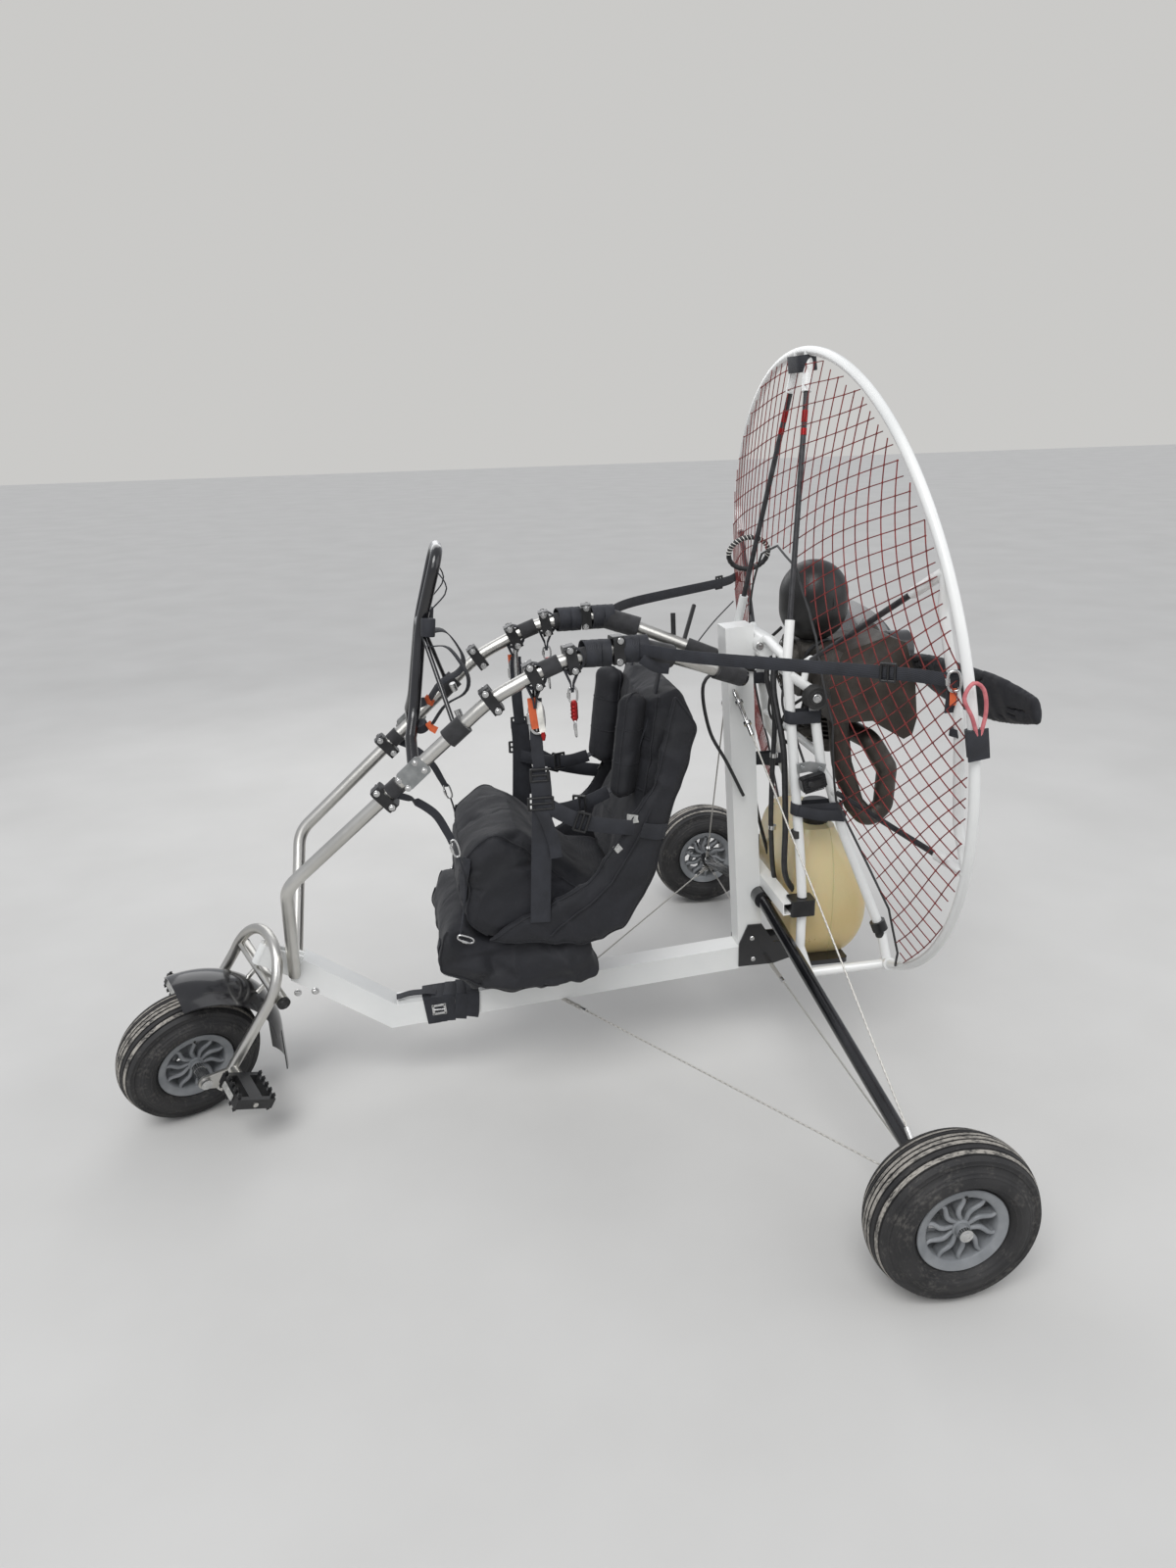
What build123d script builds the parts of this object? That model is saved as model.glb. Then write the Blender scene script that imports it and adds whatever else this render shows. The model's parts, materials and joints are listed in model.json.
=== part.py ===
from build123d import *
from math import atan2, cos, hypot, radians, sin, sqrt, tan
import os

# A paramotor trike: a powered-paraglider motor on a wheeled, foot-steered frame.
# Millimetres. +X is forward, +Y the pilot's left, +Z up.
# The origin is on the floor, under the middle of the whole length.

# Wheels
TYRE_D = 330
TYRE_W = 125
BEAD_R = 76
RIM_R = 88
RIM_W = 108
RIM_LIP = 5
HUB_R = 24
HUB_W = 96
BEARING_R = 10
TRACK = 1764

# Foot-steered fork. Its place is given down and ahead of the top of its hoop.
RAKE = 28
STEER_AT_REST = 30
FORK_TOP_AHEAD = 1279
FORK_TOP_UP = 428
FORK_TUBE_D = 25
FORK_HALF_W = 107
FORK_LEG = 350
LEG_LEAN = 6
AXLE_LEAD = 70
CROWN_TUBE_D = 30
PEDAL_DOWN = 288
PEDAL_L = 92
PEDAL_W = 96
PEDAL_T = 26

# Keel, column and overhead bars
BOX = 60
BOX_WALL = 2.5
KEEL_BEND_AHEAD = 1008
KEEL_BEND_UP = 199
KEEL_REAR_UP = 265
KEEL_NOSE_AHEAD = 1222
KEEL_NOSE_UP = 349
MAST_FOOT_UP = 235
MAST_TOP_UP = 1015
MAST_AHEAD = 116
MAST_LEAN = 3.2
MAST_HEAD = 66
MAST_HEAD_H = 86
BAR_D = 29
STRUT_D = 30

# Motor frame, cage and propeller
FRAME_HALF_W = 190
FRAME_TUBE_D = 22
FRAME_CROSS_D = 18
CAGE_R = 703
CAGE_TUBE_D = 20
CAGE_AHEAD = -63
CAGE_UP = 983
CAGE_RAKE = 7
CAGE_NET_T = 2
SPAR_D = 12
SPAR_SLEEVE_D = 21
PROP_D = 1250
PROP_AHEAD = -230
PROP_UP = MAST_TOP_UP + 5
PROP_TILT = 2
PROP_HUB_D = 90
PROP_HUB_L = 50

# Running clearance of a wheel or shaft, and the gap between pieces that only lie side by side
FIT = 0.05
GAP = 0.3

# The front axle's place, from the turned fork, lets its leaning tyre just meet the floor
TYRE_R = TYRE_D / 2
TREAD_HALF = TYRE_W / 2 - 14
TREAD_SAG = 15
tread_r = (TREAD_HALF ** 2 + TREAD_SAG ** 2) / 2 / TREAD_SAG
rake = radians(RAKE)
turn = radians(STEER_AT_REST)
STEER_AXIS = Vector(-sin(rake), 0, cos(rake))
STRAIGHT_AHEAD = Vector(cos(rake), 0, sin(rake))
FORK_AHEAD = STRAIGHT_AHEAD * cos(turn) + Vector(0, sin(turn), 0)
FORK_PORT = Vector(0, cos(turn), 0) - STRAIGHT_AHEAD * sin(turn)
low_point = (TYRE_R - tread_r) * sqrt(1 - FORK_PORT.Z ** 2) + tread_r
AXLE_DOWN = (FORK_TOP_UP + FORK_AHEAD.Z * AXLE_LEAD - low_point) / cos(rake)
axle_ahead = FORK_TOP_AHEAD + sin(rake) * AXLE_DOWN + FORK_AHEAD.X * AXLE_LEAD

# The origin lies midway between the front tyre's tread and the back of the propeller's hub
front_end = axle_ahead + (TYRE_R - tread_r) * sqrt(1 - FORK_PORT.X ** 2) + tread_r
rear_end = PROP_AHEAD - PROP_HUB_L / 2
MIDDLE = (front_end + rear_end) / 2

os.makedirs("parts", exist_ok=True)


def at(ahead, port, up):
    """A place given ahead and to port of the rear axle's middle, and above the floor."""
    return Vector(ahead - MIDDLE, port, up)


def save(piece, label):
    """Labels a finished piece and writes its file."""
    piece.part.label = label
    export_step(piece.part, f"parts/{label}.step")


def rod(points, d, bend=0.0):
    """Adds a round tube or cord along the points, its corners bent to a radius."""
    points = [Vector(*p) for p in points]
    with BuildLine() as path:
        if bend and len(points) > 2:
            FilletPolyline(*points, radius=bend)
        else:
            Polyline(*points)
    with BuildSketch(Plane(origin=points[0], z_dir=points[1] - points[0])) as section:
        Circle(d / 2)
    sweep(section.sketch, path=path.wire(), transition=Transition.RIGHT)


def bar_between(a, b, d):
    """Adds a straight round bar from a to b."""
    a = Vector(*a)
    b = Vector(*b)
    with BuildSketch(Plane(origin=a, z_dir=b - a)) as section:
        Circle(d / 2)
    extrude(section.sketch, amount=(b - a).length)


def slab(outline, low, high, mode=Mode.ADD):
    """Adds or cuts a side-view outline, given ahead and up, as thick as from low to high port."""
    points = [(ahead - MIDDLE, up) for ahead, up in outline]
    with BuildSketch(Plane.XZ.offset(-high)) as section:
        with BuildLine():
            Polyline(*points, close=True)
        make_face()
    extrude(section.sketch, amount=high - low, mode=mode)


def mirrored(points):
    """The same points on the other side of the middle."""
    return [Vector(p.X, -p.Y, p.Z) for p in points]


FORK_TOP = at(FORK_TOP_AHEAD, 0, FORK_TOP_UP)


def fork_at(down, ahead, port):
    """A place on the turned fork, from the top of its hoop."""
    return FORK_TOP - STEER_AXIS * down + FORK_AHEAD * ahead + FORK_PORT * port


def head_at(down, ahead):
    """A place on the frame's middle plane, in the head tube's own directions."""
    return FORK_TOP - STEER_AXIS * down + STRAIGHT_AHEAD * ahead


FRONT_AXLE = fork_at(AXLE_DOWN, AXLE_LEAD, 0)
leg_lean = tan(radians(LEG_LEAN))
LEG_STRAIGHT = 112
LEG_BEND = 120
HOOP_BEND = FORK_HALF_W - 4


def leg_ahead(down):
    """How far ahead of the steering axis a fork leg runs at a place down it."""
    return max(0, down - LEG_STRAIGHT) * leg_lean


# Wheels: a pneumatic tyre on a two-flanged alloy rim with curved spokes
SPOKES = 10
SPOKE_T = 5
RIM_WALL = 10
WEB_T = 8
TYRE_TREAD_R = TYRE_R - TREAD_SAG


def make_tyre(label, centre, axle):
    out = Vector(0, 0, 1) - axle * axle.Z
    half = TYRE_W / 2
    bead = RIM_W / 2 - RIM_LIP - GAP
    foot = BEAD_R + GAP
    waist = (RIM_R + TYRE_R) / 2 - 4
    with BuildPart() as tyre:
        with BuildSketch(Plane(origin=centre, x_dir=axle, z_dir=axle.cross(out))):
            with BuildLine():
                Polyline((-bead, RIM_R + 2), (-bead, foot), (bead, foot), (bead, RIM_R + 2))
                ThreePointArc((bead, RIM_R + 2), (half, waist), (TREAD_HALF, TYRE_TREAD_R))
                ThreePointArc((TREAD_HALF, TYRE_TREAD_R), (0, TYRE_R), (-TREAD_HALF, TYRE_TREAD_R))
                ThreePointArc((-TREAD_HALF, TYRE_TREAD_R), (-half, waist), (-bead, RIM_R + 2))
            make_face()
        revolve(axis=Axis(centre, axle))
    save(tyre, label)


def make_rim(label, centre, axle):
    out = Vector(0, 0, 1) - axle * axle.Z
    half = RIM_W / 2
    lip = half - RIM_LIP
    inner = BEAD_R - RIM_WALL
    with BuildPart() as rim:
        with BuildSketch(Plane(origin=centre, x_dir=axle, z_dir=axle.cross(out))):
            with BuildLine():
                Polyline(
                    (-lip, BEAD_R), (lip, BEAD_R), (lip, RIM_R), (half, RIM_R), (half, inner + 4),
                    (half - 4, inner), (4 - half, inner), (-half, inner + 4), (-half, RIM_R), (-lip, RIM_R),
                    close=True)
            make_face()
            with Locations((0, (HUB_R + inner) / 2)):
                Rectangle(WEB_T, inner - HUB_R + 2)
            with Locations((0, (HUB_R + BEARING_R + FIT) / 2)):
                Rectangle(HUB_W, HUB_R - BEARING_R - FIT)
        revolve(axis=Axis(centre, axle))
        with BuildSketch(Plane(origin=centre, z_dir=axle)):
            with PolarLocations(0, SPOKES):
                with BuildLine():
                    near = ThreePointArc((HUB_R - 2, -2), (46, 8), (inner + 1, -6))
                    far = ThreePointArc((inner + 1, -6 + SPOKE_T), (46, 8 + SPOKE_T), (HUB_R - 2, SPOKE_T - 2))
                    Line(near @ 1, far @ 0)
                    Line(far @ 1, near @ 0)
                make_face()
        extrude(amount=half - 9, both=True)
    save(rim, label)


WHEELS = [
    # name, centre, axle direction towards its nut
    ("front", FRONT_AXLE, FORK_PORT),
    ("left", at(0, TRACK / 2, TYRE_R), Vector(0, 1, 0)),
    ("right", at(0, -TRACK / 2, TYRE_R), Vector(0, -1, 0)),
]
for name, centre, axle in WHEELS:
    make_tyre(f"tyre_{name}", centre, axle)
    make_rim(f"rim_{name}", centre, axle)

# Front axle: a shaft with a collar on each side of the hub and a nut outside each tab
NUT_R = 13
NUT_T = 9
TAB_T = 6
TAB_R = 17
tab_in = FORK_HALF_W - TAB_T / 2
tab_out = FORK_HALF_W + TAB_T / 2
with BuildPart() as front_axle:
    end = tab_out + NUT_T
    bar_between(fork_at(AXLE_DOWN, AXLE_LEAD, -end), fork_at(AXLE_DOWN, AXLE_LEAD, end), 2 * BEARING_R)
    for side in (-1, 1):
        for start, stop in ((tab_out, end), (HUB_W / 2 + GAP, tab_in)):
            a = fork_at(AXLE_DOWN, AXLE_LEAD, side * start)
            b = fork_at(AXLE_DOWN, AXLE_LEAD, side * stop)
            bar_between(a, b, 2 * NUT_R)
save(front_axle, "front_axle")

# The mudguard's crest, above the axle, and the studs that hold it below the crown tube
GUARD_R = 222
GUARD_T = 3
GUARD_STUD_AT = 30
GUARD_STUD_D = 12
GUARD_STUD_SINK = 9

# Fork: bent hoop, crown tube behind it and thin cross tube between its legs, steering pin,
# tabs that carry the axle ahead of the legs and stubs for the pedals, all welded
PIN_R = 6
CROWN_DOWN = 100
CROWN_AHEAD = -(CROWN_TUBE_D + FORK_TUBE_D) / 2 + 1
CROWN_HALF = 122
CROSS_TUBE_D = 13
CROSS_DOWN = 85
STUB_D = 20
STUB_END = 146
SPINDLE_R = 6
PEDAL_SLIDE = 0.5
with BuildPart() as fork:
    leg = [(FORK_LEG, leg_ahead(FORK_LEG)), (LEG_STRAIGHT, 0), (0, 0)]
    port_leg = [fork_at(down, ahead, FORK_HALF_W) for down, ahead in leg]
    far_leg = [fork_at(down, ahead, -FORK_HALF_W) for down, ahead in reversed(leg)]
    with BuildLine() as hoop_path:
        FilletPolyline(*port_leg, *far_leg, radius=[LEG_BEND, HOOP_BEND, HOOP_BEND, LEG_BEND])
    with BuildSketch(Plane(origin=port_leg[0], z_dir=port_leg[1] - port_leg[0])):
        Circle(FORK_TUBE_D / 2)
    sweep(path=hoop_path.wire())
    bar_between(fork_at(CROWN_DOWN, CROWN_AHEAD, -CROWN_HALF), fork_at(CROWN_DOWN, CROWN_AHEAD, CROWN_HALF),
                CROWN_TUBE_D)
    bar_between(fork_at(CROSS_DOWN, 0, -FORK_HALF_W), fork_at(CROSS_DOWN, 0, FORK_HALF_W), CROSS_TUBE_D)
    bar_between(fork_at(0, 0, 0), fork_at(CROSS_DOWN, 0, 0), 2 * PIN_R)
    crown = fork_at(CROWN_DOWN, CROWN_AHEAD, 0)
    inward = (FRONT_AXLE - crown).normalized()
    guard_seat = crown + inward * ((FRONT_AXLE - crown).length - GUARD_R + GUARD_STUD_SINK)
    for side in (-1, 1):
        bar_between(crown + FORK_PORT * (side * GUARD_STUD_AT), guard_seat + FORK_PORT * (side * GUARD_STUD_AT),
                    GUARD_STUD_D)
        tab = Plane(origin=fork_at(AXLE_DOWN, AXLE_LEAD, side * FORK_HALF_W), x_dir=STEER_AXIS, z_dir=FORK_PORT)
        back = leg_ahead(AXLE_DOWN) - AXLE_LEAD
        with BuildSketch(tab):
            Circle(TAB_R)
            with Locations((-6, back), (34, back - 3)):
                Circle(9)
            make_hull()
        extrude(amount=TAB_T / 2, both=True)
        pedal_ahead = leg_ahead(PEDAL_DOWN)
        stub_end = fork_at(PEDAL_DOWN, pedal_ahead, side * STUB_END)
        bar_between(fork_at(PEDAL_DOWN, pedal_ahead, side * FORK_HALF_W), stub_end, STUB_D)
        spindle_end = fork_at(PEDAL_DOWN, pedal_ahead, side * (STUB_END + PEDAL_W + 4))
        bar_between(stub_end, spindle_end, 2 * SPINDLE_R)
    add(front_axle.part, mode=Mode.SUBTRACT)
save(fork, "fork")

# Mudguard: an arched shell over the tyre, with a flap that hangs straight behind it
GUARD_HALF_W = 68
GUARD_SAG = 34
GUARD_FROM = 58
GUARD_TO = 150
FLAP_L = 138
FLAP_HALF_W = 46


def guard_section(angle, half, sag):
    """The mudguard's curved section at an angle about the axle from straight ahead."""
    out = FORK_AHEAD * cos(radians(angle)) + STEER_AXIS * sin(radians(angle))
    edge = GUARD_R - sag
    with BuildSketch(Plane(origin=FRONT_AXLE, x_dir=FORK_PORT, z_dir=FORK_PORT.cross(out))) as section:
        with BuildLine():
            top = ThreePointArc((-half, edge), (0, GUARD_R), (half, edge))
            low = ThreePointArc((half, edge - GUARD_T), (0, GUARD_R - GUARD_T), (-half, edge - GUARD_T))
            Line(top @ 1, low @ 0)
            Line(low @ 1, top @ 0)
        make_face()
    return section.sketch


with BuildPart() as mudguard:
    revolve(guard_section(GUARD_FROM, GUARD_HALF_W, GUARD_SAG), axis=Axis(FRONT_AXLE, -FORK_PORT),
            revolution_arc=GUARD_TO - GUARD_FROM)
    guard_curve = (GUARD_HALF_W ** 2 + GUARD_SAG ** 2) / 2 / GUARD_SAG
    flap_sag = guard_curve - sqrt(guard_curve ** 2 - FLAP_HALF_W ** 2)
    extrude(guard_section(GUARD_TO, FLAP_HALF_W, flap_sag), amount=-FLAP_L)
    add(fork.part, mode=Mode.SUBTRACT)
save(mudguard, "mudguard")

# Pedals: spiked platforms that spin on the fork's spindles
for name, side in (("left", 1), ("right", -1)):
    with BuildPart() as pedal:
        middle = fork_at(PEDAL_DOWN, leg_ahead(PEDAL_DOWN), side * (STUB_END + PEDAL_SLIDE + PEDAL_W / 2))
        with BuildSketch(Plane(origin=middle, x_dir=FORK_AHEAD, z_dir=STEER_AXIS)):
            Rectangle(PEDAL_L, PEDAL_W)
            with Locations((PEDAL_L / 4 + 3, 0), (-PEDAL_L / 4 - 3, 0)):
                Rectangle(PEDAL_L / 2 - 26, PEDAL_W - 22, mode=Mode.SUBTRACT)
        extrude(amount=PEDAL_T / 2, both=True)
        with BuildSketch(Plane(origin=middle, z_dir=FORK_PORT)):
            Circle(SPINDLE_R + FIT)
        extrude(amount=PEDAL_W, both=True, mode=Mode.SUBTRACT)
    save(pedal, f"pedal_{name}")

# Column: a box tube leaning a little forward, with a head box on top
mast_slope = tan(radians(MAST_LEAN))


def mast_ahead(up):
    """The column's middle at a height."""
    return MAST_AHEAD + (up - MAST_FOOT_UP) * mast_slope


def box_outline(line, width):
    """The side-view outline of a box tube about its middle line, mitred at its bends."""
    tops = []
    lows = []
    for i, (ahead, up) in enumerate(line):
        before = line[max(i - 1, 0)]
        after = line[min(i + 1, len(line) - 1)]
        first = atan2(up - before[1], ahead - before[0]) if i else atan2(after[1] - up, after[0] - ahead)
        last = atan2(after[1] - up, after[0] - ahead) if i < len(line) - 1 else first
        middle = (first + last) / 2
        reach = width / 2 / cos((last - first) / 2)
        tops.append((ahead - reach * sin(middle), up + reach * cos(middle)))
        lows.append((ahead + reach * sin(middle), up - reach * cos(middle)))
    return tops + lows[::-1]


MAST_LINE = [(mast_ahead(MAST_FOOT_UP), MAST_FOOT_UP), (mast_ahead(MAST_TOP_UP), MAST_TOP_UP)]
HEAD_LINE = [(mast_ahead(MAST_TOP_UP), MAST_TOP_UP),
             (mast_ahead(MAST_TOP_UP + MAST_HEAD_H), MAST_TOP_UP + MAST_HEAD_H)]
FLANGE_UP = MAST_TOP_UP + 47
FLANGE_D = 50
FLANGE_HALF = 66
with BuildPart() as mast:
    slab(box_outline(MAST_LINE, BOX), -BOX / 2, BOX / 2)
    hollow = BOX / 2 - BOX_WALL
    slab(box_outline(MAST_LINE, 2 * hollow), -hollow, hollow, Mode.SUBTRACT)
    slab(box_outline(HEAD_LINE, MAST_HEAD), -MAST_HEAD / 2, MAST_HEAD / 2)
    flange_ahead = mast_ahead(FLANGE_UP) - MAST_HEAD / 2 - FLANGE_D / 2 + 4
    bar_between(at(flange_ahead, -FLANGE_HALF, FLANGE_UP), at(flange_ahead, FLANGE_HALF, FLANGE_UP), FLANGE_D)
save(mast, "mast")

# Keel: a welded box tube, low under the seat and rising to the nose
KEEL_LINE = [
    (mast_ahead(KEEL_REAR_UP), KEEL_REAR_UP),
    (KEEL_BEND_AHEAD, KEEL_BEND_UP),
    (KEEL_NOSE_AHEAD, KEEL_NOSE_UP),
]
nose_run = hypot(KEEL_NOSE_AHEAD - KEEL_BEND_AHEAD, KEEL_NOSE_UP - KEEL_BEND_UP)
cap = BOX_WALL / nose_run
KEEL_HOLLOW = KEEL_LINE[:2] + [(
    KEEL_NOSE_AHEAD + (KEEL_BEND_AHEAD - KEEL_NOSE_AHEAD) * cap, KEEL_NOSE_UP + (KEEL_BEND_UP - KEEL_NOSE_UP) * cap)]
with BuildPart() as keel:
    slab(box_outline(KEEL_LINE, BOX), -BOX / 2, BOX / 2)
    slab(box_outline(KEEL_HOLLOW, 2 * hollow), -hollow, hollow, Mode.SUBTRACT)
    slab(box_outline(MAST_LINE, BOX), -BOX / 2, BOX / 2, Mode.SUBTRACT)
save(keel, "keel")

# Steering head: two plates on the nose of the keel, holding the head tube
HEAD_TUBE_R = 14
HEAD_SLIDE = 6
HEAD_FROM = FORK_TUBE_D / 2 + HEAD_SLIDE
HEAD_TO = CROSS_DOWN - CROSS_TUBE_D / 2 - HEAD_SLIDE
PLATE_T = 6
nose = box_outline(KEEL_LINE, BOX)
NOSE_TOP = nose[2]
NOSE_LOW = nose[3]
with BuildPart() as steering_head:
    upper = head_at(HEAD_FROM + 2, -4)
    lower = head_at(HEAD_TO - 2, -4)
    plate = [NOSE_TOP, (upper.X + MIDDLE, upper.Z), (lower.X + MIDDLE, lower.Z), NOSE_LOW]
    slab(plate, HEAD_TUBE_R - PLATE_T, HEAD_TUBE_R)
    slab(plate, -HEAD_TUBE_R, -HEAD_TUBE_R + PLATE_T)
    bar_between(head_at(HEAD_FROM, 0), head_at(HEAD_TO, 0), 2 * HEAD_TUBE_R)
    with BuildSketch(Plane(origin=head_at(HEAD_FROM, 0), z_dir=-STEER_AXIS)):
        Circle(PIN_R + FIT)
    extrude(amount=HEAD_TO - HEAD_FROM, mode=Mode.SUBTRACT)
save(steering_head, "steering_head")

# Overhead bars: a V on the nose, a bend at knee height and a long arch back to the column
BAR_ROUTE = [
    # ahead, port, up
    (1229, 26, 337),
    (1203, 172, 618),
    (745, 212, 1018),
    (600, 210, 1088),
    (440, 195, 1108),
    (178, 108, MAST_TOP_UP - 12),
]
BAR_BENDS = [70, 300, 260, 200]
with BuildLine() as bar_path:
    FilletPolyline(*[at(*p) for p in BAR_ROUTE], radius=BAR_BENDS)
with BuildPart() as overhead_bars:
    for side in (1, -1):
        route = [at(ahead, side * port, up) for ahead, port, up in BAR_ROUTE]
        with BuildLine() as route_line:
            FilletPolyline(*route, radius=BAR_BENDS)
        with BuildSketch(Plane(origin=route[0], z_dir=route[1] - route[0])) as bar_end:
            Circle(BAR_D / 2)
        sweep(bar_end.sketch, path=route_line.wire())
    slab(plate, -BOX / 2, BOX / 2, Mode.SUBTRACT)
    slab(nose, -BOX / 2, BOX / 2, Mode.SUBTRACT)
save(overhead_bars, "overhead_bars")


def on_bar(share, side=1):
    """A place and direction on the left (1) or right (-1) bar, at a share of its length."""
    point = bar_path.wire().position_at(share)
    way = bar_path.wire().tangent_at(share)
    return Vector(point.X, side * point.Y, point.Z), Vector(way.X, side * way.Y, way.Z)


# Yokes: short arms from the column's sides to the bars' rear ends
YOKE_D = 24
with BuildPart() as bar_yokes:
    for side in (1, -1):
        end, way = on_bar(1, side)
        root = at(mast_ahead(end.Z) + 6, side * MAST_HEAD / 2, end.Z - 6)
        bar_between(root, end, YOKE_D)
        bar_between(end - way * 30, end + way * 4, BAR_D + 8)
    add(mast.part, mode=Mode.SUBTRACT)
    add(overhead_bars.part, mode=Mode.SUBTRACT)
save(bar_yokes, "bar_yokes")

# Two-bolt split clamps on the bars, as black blocks
CLAMP_L = 60
CLAMP_T = 24
CLAMP_DEEP = 42
CLAMP_SHARES = [0.40, 0.60, 0.665, 0.72, 0.785]
with BuildPart() as bar_clamps:
    for side in (1, -1):
        for share in CLAMP_SHARES:
            point, way = on_bar(share, side)
            with BuildSketch(Plane(origin=point, x_dir=Vector(0, 1, 0).cross(way), z_dir=way)) as block:
                RectangleRounded(CLAMP_L, CLAMP_DEEP, 9)
            extrude(block.sketch, amount=CLAMP_T / 2, both=True)
    add(overhead_bars.part, mode=Mode.SUBTRACT)
save(bar_clamps, "bar_clamps")

# Foam sleeves and cloth wraps round the bars
BAR_SLEEVES = [
    # first and last share of the bar's length, diameter
    (0.410, 0.428, 38),
    (0.520, 0.552, 44),
    (0.678, 0.704, 38),
    (0.734, 0.768, 38),
    (0.806, 0.870, 50),
    (0.950, 0.998, 41),
]
with BuildPart() as bar_sleeves:
    for side in (1, -1):
        for first, last, sleeve_d in BAR_SLEEVES:
            bar_between(on_bar(first, side)[0], on_bar(last, side)[0], sleeve_d)
    add(overhead_bars.part, mode=Mode.SUBTRACT)
    add(bar_yokes.part, mode=Mode.SUBTRACT)
save(bar_sleeves, "bar_sleeves")

# Front hoop: a black grab hoop, its legs drawn together by a cross piece and braced to the sleeves
HOOP_D = 25
HOOP_PINCH_D = 21
HOOP_BRACE_D = 10
HOOP_FOOT_SHARE = 0.455
HOOP_BRACE_SHARE = 0.536
HOOP_PINCH = (876, 53, 1144)
HOOP_ROUTE = [
    # ahead, port, up
    (914, 128, 922),
    (903, 88, 965),
    HOOP_PINCH,
    (830, 80, 1303),
]
HOOP_BENDS = [30, 60, 150, 40]
with BuildPart() as front_hoop:
    foot = on_bar(HOOP_FOOT_SHARE)[0]
    near = [foot + Vector(0, -BAR_D / 2 - 4, 4), *[at(*p) for p in HOOP_ROUTE]]
    route = near + mirrored(reversed(near))
    with BuildLine() as hoop_line:
        FilletPolyline(*route, radius=HOOP_BENDS + HOOP_BENDS[::-1])
    with BuildSketch(Plane(origin=route[0], z_dir=route[1] - route[0])):
        Circle(HOOP_D / 2)
    sweep(path=hoop_line.wire())
    pinch = at(*HOOP_PINCH)
    bar_between(pinch, *mirrored([pinch]), HOOP_PINCH_D)
    for side in (1, -1):
        bar_between(Vector(pinch.X, side * pinch.Y, pinch.Z), on_bar(HOOP_BRACE_SHARE, side)[0], HOOP_BRACE_D)
    add(overhead_bars.part, mode=Mode.SUBTRACT)
    add(bar_sleeves.part, mode=Mode.SUBTRACT)
save(front_hoop, "front_hoop")

# Plates riveted to the bars' outer sides at the hoop's feet
HOOP_PLATE_L = 64
HOOP_PLATE_W = 46
HOOP_PLATE_T = 4
with BuildPart() as hoop_plates:
    for side in (1, -1):
        foot, foot_way = on_bar(HOOP_FOOT_SHARE, side)
        seat = foot + Vector(0, side * (BAR_D / 2 - 1), 0)
        with BuildSketch(Plane(origin=seat, x_dir=foot_way, z_dir=(0, side, 0))) as plate_face:
            RectangleRounded(HOOP_PLATE_L, HOOP_PLATE_W, 8)
        extrude(plate_face.sketch, amount=HOOP_PLATE_T)
    add(overhead_bars.part, mode=Mode.SUBTRACT)
save(hoop_plates, "hoop_plates")

# Axle: tubular struts from the column's foot to the wheels
STRUT_TOP_AHEAD = 100
STRUT_TOP_UP = 432
STRUT_BOSS_D = 44
STRUT_BOSS_L = 34
STRUT_END_D = 40
STRUT_END_L = 45
hub_in = TRACK / 2 - HUB_W / 2 - GAP
with BuildPart() as axle_struts:
    for side in (1, -1):
        boss_at = (STRUT_TOP_AHEAD, STRUT_TOP_UP)
        top = at(boss_at[0], side * (BOX / 2 + STRUT_BOSS_L / 2), boss_at[1])
        low = at(0, side * (hub_in - STRUT_END_L + 15), TYRE_R)
        bar_between(top, low, STRUT_D)
        bar_between(at(boss_at[0], side * BOX / 2, boss_at[1]),
                    at(boss_at[0], side * (BOX / 2 + STRUT_BOSS_L), boss_at[1]), STRUT_BOSS_D)
        bar_between(at(0, side * (hub_in - STRUT_END_L), TYRE_R), at(0, side * hub_in, TYRE_R), STRUT_END_D)
    add(mast.part, mode=Mode.SUBTRACT)
save(axle_struts, "axle_struts")

with BuildPart() as stub_axles:
    for side in (1, -1):
        tip = TRACK / 2 + HUB_W / 2 + 4
        bar_between(at(0, side * hub_in, TYRE_R), at(0, side * tip, TYRE_R), 2 * BEARING_R)
        bar_between(at(0, side * tip, TYRE_R), at(0, side * (tip + NUT_T), TYRE_R), 2 * NUT_R)
save(stub_axles, "stub_axles")

# Square cross tube behind the column, carrying the motor frame's clamps
CROSS_BOX = 30
CROSS_WALL = 2.5
CROSS_UP = 472
CROSS_HALF = 205
cross_ahead = mast_ahead(CROSS_UP) - (BOX + CROSS_BOX) / 2 / cos(radians(MAST_LEAN))
cross_plane = Plane(origin=at(cross_ahead, -CROSS_HALF, CROSS_UP),
                    x_dir=(cos(radians(MAST_LEAN)), 0, -sin(radians(MAST_LEAN))), z_dir=(0, 1, 0))
with BuildPart() as cross_tube:
    with BuildSketch(cross_plane):
        Rectangle(CROSS_BOX, CROSS_BOX)
        Rectangle(CROSS_BOX - 2 * CROSS_WALL, CROSS_BOX - 2 * CROSS_WALL, mode=Mode.SUBTRACT)
    extrude(amount=2 * CROSS_HALF)
save(cross_tube, "cross_tube")

# Cage hoop, open at the bottom and raked with its top forward, with inner bars beside it
cage_rake = radians(CAGE_RAKE)
CAGE_MIDDLE = at(CAGE_AHEAD, 0, CAGE_UP)
CAGE_UPWARD = Vector(sin(cage_rake), 0, cos(cage_rake))
CAGE_NORMAL = Vector(cos(cage_rake), 0, -sin(cage_rake))
CAGE_OPEN = 21
SIDE_BAR_R = CAGE_R - 51
SIDE_BAR_D = 20


def cage_at(radius, angle, forward=0.0):
    """A place by radius and angle from port, in or ahead of the cage's plane."""
    a = radians(angle)
    return CAGE_MIDDLE + Vector(0, radius * cos(a), 0) + CAGE_UPWARD * (radius * sin(a)) + CAGE_NORMAL * forward


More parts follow.
